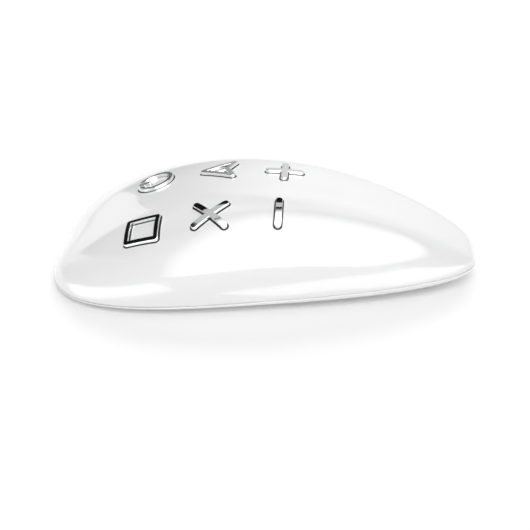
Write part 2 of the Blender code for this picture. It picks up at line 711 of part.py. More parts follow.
def make_carrier(keys, pads, ears, paint):
    """Rigid carrier under the six switches, hung from posts of the upper shell."""
    columns = (("square", "power", ears[1]), ("cross", "pointer", None), ("minus", "plus", ears[3]))
    rungs = bmesh.new()
    for near, far, ear in columns:
        add_beam(rungs, pads[near], Vector(ear) if ear else pads[far])
    carrier = add_object("switch_carrier", rungs, paint)
    for row in (("square", "cross", "minus"), ("power", "pointer", "plus")):
        for first, second in zip(row, row[1:]):
            beam = bmesh.new()
            add_beam(beam, pads[first], pads[second])
            combine(carrier, "UNION", beam)
    plates, discs, clear, holes = bmesh.new(), bmesh.new(), bmesh.new(), bmesh.new()
    for frame, levels in keys.values():
        top = levels["carrier_top"]
        add_prism(plates, rectangle(CARRIER_PAD, CARRIER_PAD), top - CARRIER, top, frame)
        add_prism(clear, rectangle(CARRIER_PAD, CARRIER_PAD), top + SEAT / 3, top + 2 * CARRIER, frame)
    half = CARRIER / 2
    for x, y, z in ears:
        add_prism(discs, circle(EAR_RADIUS, x, y), z - half, z + half)
        add_prism(clear, circle(EAR_RADIUS, x, y), z + half, z + half + EAR_RADIUS)
        add_prism(clear, circle(EAR_RADIUS, x, y), z - half - EAR_RADIUS, z - half)
        add_prism(holes, circle(SCREW_RADIUS + SCREW_CLEARANCE, x, y), z - 2 * CARRIER, z + 2 * CARRIER)
    combine(carrier, "UNION", plates)
    combine(carrier, "UNION", discs)
    combine(carrier, "DIFFERENCE", clear)
    combine(carrier, "DIFFERENCE", holes)


def battery_layout():
    """Place, width and underside of the battery, which lies ahead of the rear bosses."""
    tray_rear = HALF_LENGTH - REAR_BOSS_SETBACK - COLLAR_RADIUS - SEAM
    x = tray_rear - TRAY_WALL - BATTERY_LENGTH / 2
    width = 2 * (floor_half_width(tray_rear) - TRAY_SIDE_CLEARANCE - TRAY_WALL)
    coil_top = FLOOR_TOP + SEAT + COIL_HEIGHT
    bottom = coil_top + SEAT + FERRITE + SEAT + TRAY_WALL + SEAT
    return {"x": x, "width": width, "bottom": bottom, "front": x - BATTERY_LENGTH / 2}


def board_layout(battery):
    """Edges and heights of the main board, which ends where the battery's tray begins."""
    rear = battery["front"] - TRAY_WALL - 2 * SEAM
    front = -HALF_LENGTH + FRONT_BOSS_SETBACK + COLLAR_RADIUS + 2 * SEAM
    half_width = min(floor_half_width(front), floor_half_width(rear)) - BOARD_SIDE_CLEARANCE
    bottom = FLOOR_TOP + BOARD_STANDOFF
    inset, across = BOARD_SCREW_INSET, half_width - BOARD_SCREW_INSET
    screws = [(x, y) for x in (front + inset, rear - inset) for y in (-across, across)]
    return {"front": front, "rear": rear, "half_width": half_width, "bottom": bottom,
            "top": bottom + BOARD, "screws": screws, "screw_tip": FLOOR_TOP - FLOOR / 3,
            "battery_plug": (rear - BATTERY_PLUG[0] / 2 - SEAM, 1.4 * BATTERY_PLUG[1])}


def make_board(board, pads, paints):
    """Main board with its screws, chips, shield and plugs, and the switch ribbon."""
    middle = (board["front"] + board["rear"]) / 2
    length = board["rear"] - board["front"]
    plate = box((length, 2 * board["half_width"], BOARD), middle, 0.0, board["bottom"])
    main = add_object("main_board", plate, paints["board"])
    holes = bmesh.new()
    for x, y in board["screws"]:
        add_prism(holes, circle(SCREW_RADIUS + SCREW_CLEARANCE, x, y),
                  board["bottom"] - SEAM, board["top"] + SEAM)
    combine(main, "DIFFERENCE", holes)
    seat = board["top"] + SEAT
    make_screws("board_screw", [(x, y, seat) for x, y in board["screws"]],
                seat - board["screw_tip"], paints["steel"], True)
    hang = (pads["cross"] + pads["pointer"]) / 2
    shield_x = board["front"] + length / 3
    shield_y = hang.y + (RIBBON_PLUG[1] + SHIELD[1]) / 2 + PART_SPACING
    shield = add_object("shield_can", box(SHIELD, shield_x, shield_y, seat), paints["steel"])
    hollow = (SHIELD[0] - 2 * SHIELD_WALL, SHIELD[1] - 2 * SHIELD_WALL, SHIELD[2])
    combine(shield, "DIFFERENCE", box(hollow, shield_x, shield_y, seat - SHIELD_WALL))
    add_object("motion_sensor_chip", box(SENSOR, shield_x, -SENSOR[1] * 2, seat), paints["black"])
    charger = box(CHARGER, board["rear"] - CHARGER[0] / 2 - SEAM, CHARGER[1] / 2, seat)
    add_object("charge_controller_chip", charger, paints["black"])
    plug_x, plug_y = board["battery_plug"]
    plug = add_object("battery_plug", box(BATTERY_PLUG, plug_x, plug_y, seat), paints["ivory"])
    lead_hole = prism(circle(LEAD_RADIUS + SEAM, plug_x, plug_y), seat + BATTERY_PLUG[2] / 2,
                      seat + BATTERY_PLUG[2] + SEAM)
    combine(plug, "DIFFERENCE", lead_hole)
    rung = pads["pointer"] - pads["cross"]
    fall = abs(rung.z / rung.y) * RIBBON[0] / 2
    level = hang.z - CARRIER / 2 * rung.length / rung.y - fall - SEAM
    plug_x = hang.x - CARRIER_BEAM / 2 - RIBBON_BEND
    plug = add_object("ribbon_plug", box(RIBBON_PLUG, plug_x, hang.y, seat), paints["ivory"])
    slot = (RIBBON[1] + 2 * SEAT, RIBBON[0] + 2 * SEAT, RIBBON_PLUG[2])
    combine(plug, "DIFFERENCE", box(slot, plug_x, hang.y, seat + RIBBON_PLUG[2] / 2))
    ribbon_end = seat + RIBBON_PLUG[2] / 2 + SEAT
    make_ribbon(hang, level, plug_x, ribbon_end, paints["amber"])


def make_ribbon(hang, level, down_x, end, paint):
    """Flat ribbon: level under the carrier, a quarter bend, then down into its plug."""
    half = RIBBON[1] / 2
    centre_line = [(hang.x + CARRIER_BEAM / 2, level - half, 0.0)]
    for step in range(9):
        angle = math.pi / 2 * step / 8
        centre_line.append((down_x + RIBBON_BEND * (1 - math.sin(angle)),
                            level - half - RIBBON_BEND * (1 - math.cos(angle)), angle))
    centre_line.append((down_x, end, math.pi / 2))
    upper = [(x - half * math.sin(a), z + half * math.cos(a)) for x, z, a in centre_line]
    lower = [(x + half * math.sin(a), z - half * math.cos(a)) for x, z, a in centre_line]
    upright = Matrix.Rotation(math.pi / 2, 4, "X")
    shape = prism(upper + lower[::-1], -RIBBON[0] / 2, RIBBON[0] / 2)
    add_object("switch_ribbon", shape, paint, at(0.0, hang.y, 0.0) @ upright)


def make_power(battery, board, paints):
    """Battery in its tray over the charging coil, and the lead to the main board."""
    x, bottom = battery["x"], battery["bottom"]
    coil_bottom = FLOOR_TOP + SEAT
    turns = ring_prism(circle(COIL_OUTER), circle(COIL_INNER), 0.0, COIL_HEIGHT)
    add_object("charge_coil", turns, paints["copper"], at(x, 0.0, coil_bottom))
    sheet = prism(circle(COIL_OUTER + 2 * SEAM), 0.0, FERRITE)
    sheet_bottom = coil_bottom + COIL_HEIGHT + SEAT
    add_object("ferrite_sheet", sheet, paints["black"], at(x, 0.0, sheet_bottom))
    cell_size = (BATTERY_LENGTH, battery["width"], BATTERY_HEIGHT)
    tray_size = (cell_size[0] + 2 * TRAY_WALL, cell_size[1] + 2 * TRAY_WALL, TRAY_DEPTH)
    tray_block = box(tray_size, x, 0.0, bottom - TRAY_WALL - SEAT)
    tray = add_object("battery_tray", tray_block, paints["grey"])
    room = (cell_size[0] + 2 * SEAT, cell_size[1] + 2 * SEAT, TRAY_DEPTH)
    combine(tray, "DIFFERENCE", box(room, x, 0.0, bottom - SEAT))
    cell = add_object("battery_cell", box(cell_size, x, 0.0, bottom), paints["silver"])
    soften = cell.modifiers.new("soft_edges", "BEVEL")
    soften.width = 0.1 * BATTERY_HEIGHT
    soften.segments = 2
    make_lead(battery, board, paints["red"])


def make_lead(battery, board, paint):
    """Short lead that leaves the battery's front face and drops into its plug."""
    down_x, y = board["battery_plug"]
    start = battery["front"] - SEAM
    height = battery["bottom"] + 0.75 * BATTERY_HEIGHT
    end = board["top"] + 2 * SEAT + BATTERY_PLUG[2] / 2
    reach = start - down_x
    drop = height - board["top"] - SEAT - BATTERY_PLUG[2] - SEAM
    points = [(start, height)]
    for step in range(1, 9):
        angle = math.pi / 2 * step / 8
        points.append((down_x + reach * (1 - math.sin(angle)),
                       height - drop * (1 - math.cos(angle))))
    points.append((down_x, end))
    curve = bpy.data.curves.new("battery_lead", "CURVE")
    curve.dimensions = "3D"
    curve.bevel_depth = LEAD_RADIUS
    curve.bevel_resolution = 2
    curve.use_fill_caps = True
    spline = curve.splines.new("POLY")
    spline.points.add(len(points) - 1)
    for point, (x, z) in zip(spline.points, points):
        point.co = (x, y, z, 1.0)
    curve.materials.append(paint)
    lead = bpy.data.objects.new("battery_lead", curve)
    bpy.context.scene.collection.objects.link(lead)


def make_motor(paints):
    """Vibration motor across the nose: can in a cradle, and a half-round weight."""
    x = -HALF_LENGTH + MOTOR_SETBACK
    z = FLOOR_TOP + SEAM + WEIGHT_RADIUS + SEAM
    to_y = Matrix.Rotation(-math.pi / 2, 4, "X")
    place = at(x, 0.0, z) @ to_y
    half = MOTOR_LENGTH / 2
    can = add_object("motor_can", prism(circle(MOTOR_RADIUS), -half, half), paints["steel"], place)
    bore_depth = MOTOR_LENGTH / 3
    combine(can, "DIFFERENCE", prism(circle(SHAFT_RADIUS + SHAFT_CLEARANCE), half - bore_depth,
                                     half + SEAM), place)
    start = half + SHAFT_RADIUS
    half_round = [(WEIGHT_RADIUS * math.cos(t), WEIGHT_RADIUS * math.sin(t))
                  for t in (math.pi * i / ROUND for i in range(ROUND + 1))]
    hub = [(2 * SHAFT_RADIUS * math.cos(t), 2 * SHAFT_RADIUS * math.sin(t))
           for t in (math.pi + math.pi * i / 8 for i in range(9))]
    outline = half_round + hub
    weight = add_object("motor_weight", prism(outline, start, start + WEIGHT_LENGTH),
                        paints["steel"], place)
    shaft = prism(circle(SHAFT_RADIUS), half - bore_depth + SEAM, start + WEIGHT_LENGTH / 2)
    combine(weight, "UNION", shaft, place)
    bottom = FLOOR_TOP + SEAT
    wide = 2 * (MOTOR_RADIUS + LIP_WALL)
    block = box((wide, CRADLE_LENGTH, z - bottom), x, 0.0, bottom)
    cradle = add_object("motor_cradle", block, paints["black"])
    seat = prism(circle(MOTOR_RADIUS + MOTOR_CLEARANCE), -CRADLE_LENGTH, CRADLE_LENGTH)
    combine(cradle, "DIFFERENCE", seat, place)


def make_paints():
    return {
        "white": make_material("gloss_white", (0.86, 0.86, 0.85), 0.12),
        "under": make_material("satin_white", (0.80, 0.80, 0.79), 0.35),
        "chrome": make_material("chrome", (0.78, 0.79, 0.80), 0.05, 1.0),
        "steel": make_material("steel", (0.62, 0.62, 0.63), 0.30, 1.0),
        "black": make_material("black_plastic", (0.03, 0.03, 0.03), 0.45),
        "grey": make_material("grey_plastic", (0.30, 0.31, 0.32), 0.50),
        "rubber": make_material("grey_rubber", (0.42, 0.42, 0.42), 0.80),
        "board": make_material("circuit_board", (0.02, 0.20, 0.09), 0.40),
        "ivory": make_material("ivory_plastic", (0.75, 0.72, 0.62), 0.45),
        "amber": make_material("amber_film", (0.65, 0.32, 0.05), 0.35),
        "copper": make_material("copper_wire", (0.72, 0.38, 0.20), 0.30, 1.0),
        "silver": make_material("battery_foil", (0.70, 0.71, 0.73), 0.38, 1.0),
        "red": make_material("red_sleeve", (0.60, 0.04, 0.03), 0.45),
    }


def main():
    clear_scene()
    paints = make_paints()
    keys = {}
    for kind, (x, y) in key_places().items():
        frame = surface_frame(x, y)
        keys[kind] = (frame, key_levels(kind, frame))
    pads, ears = carrier_layout(keys)
    battery = battery_layout()
    board = board_layout(battery)
    make_upper_shell(paints["white"], keys, ears)
    make_lower_shell(paints["under"], paints["rubber"], board)
    case_seats = [(x, y, head_seat(x, y) - SEAT) for x, y in case_boss_places()]
    make_screws("case_screw", case_seats, CASE_SCREW_LENGTH, paints["steel"], False)
    for kind, (frame, levels) in keys.items():
        make_key(kind, frame, levels, paints)
    make_carrier(keys, pads, ears, paints["grey"])
    carrier_seats = [(x, y, z - CARRIER / 2 - SEAT) for x, y, z in ears]
    carrier_length = min(boss_top(x, y, BOSS_RADIUS) - z for x, y, z in carrier_seats) - 2 * SEAT
    make_screws("carrier_screw", carrier_seats, carrier_length, paints["steel"], False)
    make_board(board, pads, paints)
    make_power(battery, board, paints)
    make_motor(paints)


main()
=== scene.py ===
"""Looks of a pebble-shaped handheld motion controller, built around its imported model.

The blunt nose points to -X and the narrow tail to +X, the near long side is -Y
and the floor is z = 0.  All sizes are in metres.  The housing is worked out from
the same form values as the part; the keys take their places from its joints.
"""
import functools
import json
import math

import bpy
import numpy as np
from mathutils import Matrix, Vector


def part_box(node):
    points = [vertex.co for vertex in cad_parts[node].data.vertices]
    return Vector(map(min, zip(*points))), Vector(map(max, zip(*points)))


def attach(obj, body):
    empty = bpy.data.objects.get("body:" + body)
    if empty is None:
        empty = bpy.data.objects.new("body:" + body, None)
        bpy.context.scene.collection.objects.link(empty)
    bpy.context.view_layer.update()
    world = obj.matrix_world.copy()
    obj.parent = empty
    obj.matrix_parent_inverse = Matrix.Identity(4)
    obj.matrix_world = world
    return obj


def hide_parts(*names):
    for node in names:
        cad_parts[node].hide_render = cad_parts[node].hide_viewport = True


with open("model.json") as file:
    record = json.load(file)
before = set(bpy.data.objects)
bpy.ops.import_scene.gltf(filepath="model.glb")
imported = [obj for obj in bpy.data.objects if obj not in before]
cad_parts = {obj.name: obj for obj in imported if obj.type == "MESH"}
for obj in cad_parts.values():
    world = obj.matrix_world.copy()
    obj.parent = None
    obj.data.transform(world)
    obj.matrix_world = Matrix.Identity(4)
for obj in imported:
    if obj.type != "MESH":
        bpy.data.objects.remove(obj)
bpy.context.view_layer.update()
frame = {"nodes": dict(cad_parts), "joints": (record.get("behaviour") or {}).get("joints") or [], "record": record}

MM = 0.001
ORIGIN = (0.0, 0.0, 0.0)

# Form of the housing
shell_low, shell_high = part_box("upper_shell")
HALF_LENGTH = (shell_high.x - shell_low.x) / 2
NEAR_HALF = 29.5 * MM          # half width on the near side of the crest, at mid length
FAR_HALF = 36.2 * MM           # the same on the far side
HEIGHT = 29.6 * MM
RIM_HEIGHT = 4.0 * MM          # parting plane at mid length
RIM_RISE = 0.5
TAPER = 0.36
PLAN_POWER = 2.9
CROWN_TILT = -0.09
CROWN_DROP = -0.33
SIDE_POWER = 3.0
TOP_POWER = 2.75
BASE_SCALE = 0.56
BASE_LIFT = 0.4 * MM
WALL = 2.0 * MM
FLOOR = 1.8 * MM
SEAM = 0.3 * MM
LIP_HEIGHT = 1.2 * MM
LIP_WALL = 1.2 * MM
LIP_CLEARANCE = 0.6 * MM
CAVITY_SCALE = 0.8
SEAT = 0.15 * MM
PAD_SCALE = 0.5

# Keys
KEY_KINDS = ("square", "power", "cross", "pointer", "minus", "plus")
KEY_TURN = math.radians(1.2)
GLYPH = 11.8 * MM
OUTLINE_STROKE = 1.5 * MM
BAR_STROKE = 2.1 * MM
GLYPH_CORNER = 1.0 * MM
POWER_BAR_INNER = 1.4 * MM
POWER_TAB = 0.8 * MM
KEY_CLEARANCE = 0.25 * MM
ISLAND_CLEARANCE = 0.15 * MM
ISLAND_DROP = 0.12 * MM        # island top under the shell's surface
ISLAND_GROOVE = 0.3 * MM       # groove between an island and its symbol
OPENING_GAP = 0.36 * MM        # opening's edge to the key, with room for its dark ring of painted shade
SHADE_RING_WALL = 0.2 * MM           # dark rings of painted shade that line a key's opening and an island's groove
SHADE_RING_TOP = 0.05 * MM
SHADE_RING_DEPTH = 1.2 * MM
SHADE_RING_GAP = 0.005 * MM
FLANGE = 1.0 * MM
FLANGE_MARGIN = 0.8 * MM
STEM_RADIUS = 1.8 * MM

# Edge radii
LIP_RADIUS = 0.12 * MM         # rounding of the key openings
RIM_RADIUS = 0.2 * MM          # rounding along the parting line
GROOVE_DEPTH = 0.45 * MM       # shadow groove between the two shells
CAP_RADIUS = 0.16 * MM         # rounding of the key caps
FILLET_STEPS = 5

# Symbols, and the recess of the pad
POINTER_TIP = 1.2              # pointer's tips past the half size, in corner radii
POINTER_TAIL = 1.08            # its tail and its notch, in half sizes
POINTER_NOTCH = 0.55
SQUARE_SHARE = 0.93            # side of the square and reach of the cross, in sizes
CROSS_SHARE = 0.62
CELL_MARGIN = 1.8 * MM         # from a symbol to its cell's edge
RECESS_EDGE = 0.2 * MM         # rounding of the pad's recess and of the pad
PAD_EDGE = 0.3 * MM

# Fineness of the surfaces
CELL_SIDE = 64                 # points along one side of a key's cell
CELL_RINGS = 16                # rings between a key's opening and its cell's edge
CELL_CROWDING = 1.5            # power that crowds them at the opening
INNER_CELL_RINGS = 4
DOME_RINGS = 44                # rings between the cells and the parting line
INNER_DOME_RINGS = 12
SIDE_RINGS = 28                # rings up the tray's side
PAD_RINGS = 60
KEY_POINTS = 384               # points around a key's outline
UNDER_POINTS = 512             # points around the tray and the pad
ARC_POINTS = 180               # points along the power symbol's arc, and round half a bar's end
BAR_END_POINTS = 14
SCALE_STEPS = 60               # rounds of the searches for a scale, a height and an outline
SLIDE_STEPS = 25
HALVING_STEPS = 44
HUB_SHARE = 0.02               # smallest ring of a flat face, as a share of its edge
SHARP_ANGLE = math.radians(40)
WELD = 0.0001 * MM             # points closer than this are one point
STEP = 0.02 * MM               # small distance used to measure a slope

# Wells of the case screws
SCREW_CLEARANCE = 0.15 * MM
SCREW_CHAMFER = 0.25 * MM
SCREW_HEAD = 1.2 * MM
SCREW_POINTS = 64

# Camera and studio
CAMERA_TURN = math.radians(5.384)
CAMERA_RISE = math.radians(27.726)
CAMERA_ROLL = math.radians(-0.787)
CAMERA_DISTANCE = 569.4 * MM
CAMERA_LENS = 123.9
CAMERA_AIM = (-0.228 * MM, 0.793 * MM)
SENSOR_WIDTH = 36.0
FLOOR_HALF = 3.0
FLOOR_GLOW = 0.08              # fills the shadow right under the edge
CARD_LIFT = 0.5 * MM
CARD_CENTRE = (0.0, -0.025, 0.015)
WORLD_STRENGTH = 0.61
COAT_ROUGHNESS = 0.04
PANEL_DISTANCE = 0.8
FLAG_DISTANCE = 0.6
BACK_DISTANCE = 1.3


# ---- form functions

def plan_width(x, near, inset=0.0):
    """Half width at x: half (1 - |s|^2.9)^(1/2.9) (1 - taper s), with s = x over the half length."""
    half = np.where(near, NEAR_HALF, FAR_HALF) - inset
    share = np.clip(x / (HALF_LENGTH - inset), -1, 1)
    return half * (1 - np.abs(share) ** PLAN_POWER) ** (1 / PLAN_POWER) * (1 - TAPER * share)


def spine_shift():
    """Y of the crest line that puts the middle of the plan at y = 0."""
    x = np.linspace(-HALF_LENGTH, HALF_LENGTH, 2001)
    return float(plan_width(x, True).max() - plan_width(x, False).max()) / 2


SPINE_Y = spine_shift()


def plan_outline(turns, scale=1.0, inset=0.0):
    """Tapered superellipse by angle, scaled about the crest's middle, as x and y."""
    cosine, sine = np.cos(turns), np.sin(turns)
    radius = (np.abs(cosine) ** PLAN_POWER + np.abs(sine) ** PLAN_POWER) ** (-1 / PLAN_POWER)
    half = np.where(sine < 0, NEAR_HALF, FAR_HALF) - inset
    x = (HALF_LENGTH - inset) * radius * cosine
    y = half * radius * sine * (1 - TAPER * radius * cosine)
    return scale * x, scale * y + SPINE_Y


def outline_turn_and_scale(x, y, inset=0.0):
    """Angle and scale at which plan_outline passes through the points (x, y)."""
    sideways = y - SPINE_Y
    half = np.where(sideways < 0, NEAR_HALF, FAR_HALF) - inset
    along = x / (HALF_LENGTH - inset)
    scale = np.ones_like(x)
    for _ in range(SCALE_STEPS):
        across = sideways / (half * (1 - TAPER * along / scale))
        wanted = (np.abs(along) ** PLAN_POWER + np.abs(across) ** PLAN_POWER) ** (1 / PLAN_POWER)
        scale = (scale + wanted) / 2
    return np.arctan2(across, along), scale


def rim_height(x):
    """Height of the tilted parting plane."""
    return RIM_HEIGHT * (1 + RIM_RISE * x / HALF_LENGTH)


def dome_height(x, y, inset=0.0):
    """Rim plus ridge times swell: ridge falls along the length, swell across it."""
    sideways = y - SPINE_Y
    share = np.clip(x / (HALF_LENGTH - inset), -1, 1)
    ridge = np.sqrt(1 - share ** 2) * (1 + CROWN_TILT * share + CROWN_DROP * share ** 2)
    across = np.abs(sideways) / np.maximum(plan_width(x, sideways < 0, inset), STEP)
    swell = (1 - np.clip(across, 0, 1) ** SIDE_POWER) ** (1 / TOP_POWER)
    return rim_height(x) + (HEIGHT - RIM_HEIGHT - inset) * ridge * swell


def dome_points(x, y, inset=0.0):
    return np.stack([x, y, dome_height(x, y, inset)], axis=-1)


# ---- key frames and outlines

def node_points(node):
    """Corners of a CAD node's mesh."""
    mesh = frame["nodes"][node].data
    points = np.zeros(len(mesh.vertices) * 3)
    mesh.vertices.foreach_get("co", points)
    return points.reshape(-1, 3)


@functools.cache
def key_frame(kind):
    """A key's directions (along, across, axis) and its origin, where its axis meets the dome.

    The axis is its joint's, and it runs through the middle of the round actuator.
    """
    joint = next(j for j in frame["joints"] if j["name"] == f"key_{kind}_press")
    axis = np.array(joint["axis"], float)
    heading = np.array([math.cos(KEY_TURN), math.sin(KEY_TURN), 0.0])
    along = heading - axis * (heading @ axis)
    along /= np.linalg.norm(along)
    axes = np.stack([along, np.cross(axis, along), axis])
    local = node_points(f"switch_actuator_{kind}") @ axes.T
    middle = (local.min(axis=0) + local.max(axis=0)) / 2 @ axes
    return axes, on_dome((axes, middle), np.zeros(1), np.zeros(1))[0]


def from_key(place, u, v, w):
    """World points for coordinates in a key's frame."""
    axes, origin = place
    return origin + np.stack([u, v, w + 0 * u], axis=-1) @ axes


def key_span(place, node):
    """Lowest and highest level of a CAD node along the key's axis."""
    axes, origin = place
    levels = (node_points(node) - origin) @ axes[2]
    return float(levels.min()), float(levels.max())


def on_dome(place, u, v, inset=0.0):
    """Points of the dome over (u, v), found by sliding along the key's axis."""
    axes, _ = place
    depth = np.zeros_like(u)
    for _ in range(SLIDE_STEPS):
        points = from_key(place, u, v, depth)
        gap = dome_height(points[..., 0], points[..., 1], inset) - points[..., 2]
        depth = depth + gap * axes[2][2]
    return from_key(place, u, v, depth)


def rectangle(length, width):
    a, b = length / 2, width / 2
    return np.array([(-a, -b), (a, -b), (a, b), (-a, b)])


def crossed_bars(reach, turn):
    """Corners of two equal bars that cross at right angles."""
    half = BAR_STROKE / 2
    arm = np.array([(half, -half), (reach, -half), (reach, half)])
    turns = turn + np.arange(4) * math.pi / 2
    spin = np.array([[np.cos(turns), np.sin(turns)], [-np.sin(turns), np.cos(turns)]])
    return np.einsum("pi,ijt->tpj", arm, spin).reshape(-1, 2)


def symbol_corners(kind):
    """Corners of a symbol before they are rounded, anticlockwise."""
    half = GLYPH / 2
    tip = half + POINTER_TIP * GLYPH_CORNER
    tail = POINTER_TAIL * half
    if kind == "pointer":
        return np.array([(-tip, 0.0), (tail, -tip), (POINTER_NOTCH * half, 0.0), (tail, tip)])
    return {"square": rectangle(SQUARE_SHARE * GLYPH, SQUARE_SHARE * GLYPH),
            "cross": crossed_bars(CROSS_SHARE * GLYPH, math.pi / 4),
            "plus": crossed_bars(half, 0.0),
            "minus": rectangle(BAR_STROKE, GLYPH)}[kind]


def moved_corners(corners, grow):
    """Corners of the outline whose edges are moved outwards by a distance."""
    into = corners - np.roll(corners, 1, axis=0)
    into /= np.linalg.norm(into, axis=1, keepdims=True)
    out = np.roll(into, -1, axis=0)
    side_in = np.stack([into[:, 1], -into[:, 0]], axis=1)
    side_out = np.stack([out[:, 1], -out[:, 0]], axis=1)
    share = 1 + np.sum(side_in * side_out, axis=1, keepdims=True)
    return corners + (side_in + side_out) * grow / share


def polygon_distance(corners, u, v):
    """Signed distance from points to a polygon: negative inside."""
    start, end = corners, np.roll(corners, -1, axis=0)
    run = end - start
    du, dv = u[..., None] - start[:, 0], v[..., None] - start[:, 1]
    share = np.clip((du * run[:, 0] + dv * run[:, 1]) / np.sum(run ** 2, axis=1), 0, 1)
    gap = np.hypot(du - share * run[:, 0], dv - share * run[:, 1]).min(axis=-1)
    spans = (start[:, 1] > v[..., None]) != (end[:, 1] > v[..., None])
    safe = np.where(run[:, 1] == 0, 1.0, run[:, 1])
    crossing = start[:, 0] + run[:, 0] * (v[..., None] - start[:, 1]) / safe
    inside = np.sum(spans & (u[..., None] < crossing), axis=-1) % 2 == 1
    return np.where(inside, -gap, gap)


def symbol_reach(kind, turns, grow=0.0):
    """Distance from the key's middle to its outline, along each direction.

    The outline is where the distance to the shrunken corners equals the corner
    radius plus grow; it is found by halving the interval.
    """
    if kind == "power":
        return np.full_like(turns, GLYPH / 2 + grow)
    radius = min(GLYPH_CORNER, 0.49 * BAR_STROKE)
    core = moved_corners(symbol_corners(kind), -radius)
    low, high = np.zeros_like(turns), np.full_like(turns, 2 * GLYPH)
    for _ in range(HALVING_STEPS):
        middle = (low + high) / 2
        inside = polygon_distance(core, middle * np.cos(turns), middle * np.sin(turns)) < radius + grow
        low, high = np.where(inside, middle, low), np.where(inside, high, middle)
    return (low + high) / 2


# ---- mesh helpers

def lattice_faces(rows, columns, start=0, closed=False):
    """Quads between rings of points; facing outwards when the rings climb anticlockwise."""
    row = np.arange(rows if closed else rows - 1)[:, None]
    column = np.arange(columns)[None, :]
    following, after = (column + 1) % columns, (row + 1) % rows
    quads = np.stack([row * columns + column, row * columns + following,
                      after * columns + following, after * columns + column], axis=-1)
    return quads.reshape(-1, 4) + start


def fan_faces(ring, hub, flip=False):
    """Triangles from a ring of point numbers to a hub."""
    after = np.roll(ring, -1)
    pair = (after, ring) if flip else (ring, after)
    return np.stack([pair[0], pair[1], np.full_like(ring, hub)], axis=1)


def piece_from_rings(name, rings, bottom_hub=None, top_hub=None, closed=False):
    """Closed piece through equal rings; its ends close on hubs, or the last ring joins the first."""
    rows, columns = rings.shape[:2]
    points = rings.reshape(-1, 3)
    faces = [lattice_faces(rows, columns, closed=closed).tolist()]
    last = np.arange((rows - 1) * columns, rows * columns)
    for hub, ring, flip in ((bottom_hub, np.arange(columns), True), (top_hub, last, False)):
        if hub is not None:
            faces.append(fan_faces(ring, len(points), flip).tolist())
            points = np.vstack([points, hub])
    return make_piece(name, points, sum(faces, []))


def add_object(name, data):
    made = bpy.data.objects.new(name, data)
    bpy.context.scene.collection.objects.link(made)
    return made


def make_piece(name, points, faces):
    """Smooth mesh object with its sharp edges marked."""
    mesh = bpy.data.meshes.new(name)
    mesh.from_pydata(points.tolist(), [], faces)
    mesh.shade_smooth()
    mesh.set_sharp_from_angle(angle=SHARP_ANGLE)
    return add_object(name, mesh)


def merged(blocks):
    """Points and quads of several lattices, with the points that they share joined."""
    points = np.vstack([block.reshape(-1, 3) for block in blocks])
    quads, start = [], 0
    for block in blocks:
        quads.append(lattice_faces(block.shape[0], block.shape[1], start))
        start += block.shape[0] * block.shape[1]
    cells = np.round(points / WELD).astype(np.int64)
    _, first, place = np.unique(cells, axis=0, return_index=True, return_inverse=True)
    return points[first], place.reshape(-1)[np.vstack(quads)]


def fillet(steps=FILLET_STEPS):
    """Sine and one minus cosine over a quarter turn."""
    turns = np.linspace(0, math.pi / 2, steps + 1)
    return np.sin(turns), 1 - np.cos(turns)


def even_turns(count):
    """Angles of points spread evenly round a ring."""
    return np.arange(count) * 2 * math.pi / count


# ---- upper shell

def cell_lines():
    """Lines in plan that divide the keyed area into cells, as rows and columns of points."""
    places = {kind: key_frame(kind)[1] for kind in KEY_KINDS}
    pitch = places["cross"][0] - places["square"][0]
    first = places["square"][0] - pitch / 2
    across = [first + pitch * n for n in range(4)]

    def row_line(near, far, offset):
        slope = (far[1] - near[1]) / (far[0] - near[0])
        return lambda x: near[1] + slope * (x - near[0]) + offset

    margin = GLYPH / 2 + CELL_MARGIN
    near_row = row_line(places["square"], places["minus"], -margin)
    far_row = row_line(places["power"], places["plus"], margin)
    lines = [near_row, lambda x: (near_row(x) + far_row(x)) / 2, far_row]
    corners = np.array([[(x, line(x)) for x in across] for line in lines])
    share = np.linspace(0, 1, CELL_SIDE + 1)[:, None]
    rows = [[corners[r, c] * (1 - share) + corners[r, c + 1] * share for c in range(3)]
            for r in range(3)]
    columns = [[corners[r, c] * (1 - share) + corners[r + 1, c] * share for r in range(2)]
               for c in range(4)]
    return rows, columns


def cell_edge(rows, columns, row, column):
    """Closed line of points round one cell, anticlockwise."""
    sides = (rows[row][column], columns[column + 1][row],
             rows[row + 1][column][::-1], columns[column][row][::-1])
    return np.vstack([side[:-1] for side in sides])


def keyed_area_edge(rows, columns):
    """Closed line of points round all six cells, anticlockwise."""
    sides = (rows[0] + [columns[3][0], columns[3][1]]
             + [line[::-1] for line in rows[2][::-1]]
             + [columns[0][1][::-1], columns[0][0][::-1]])
    return np.vstack([side[:-1] for side in sides])


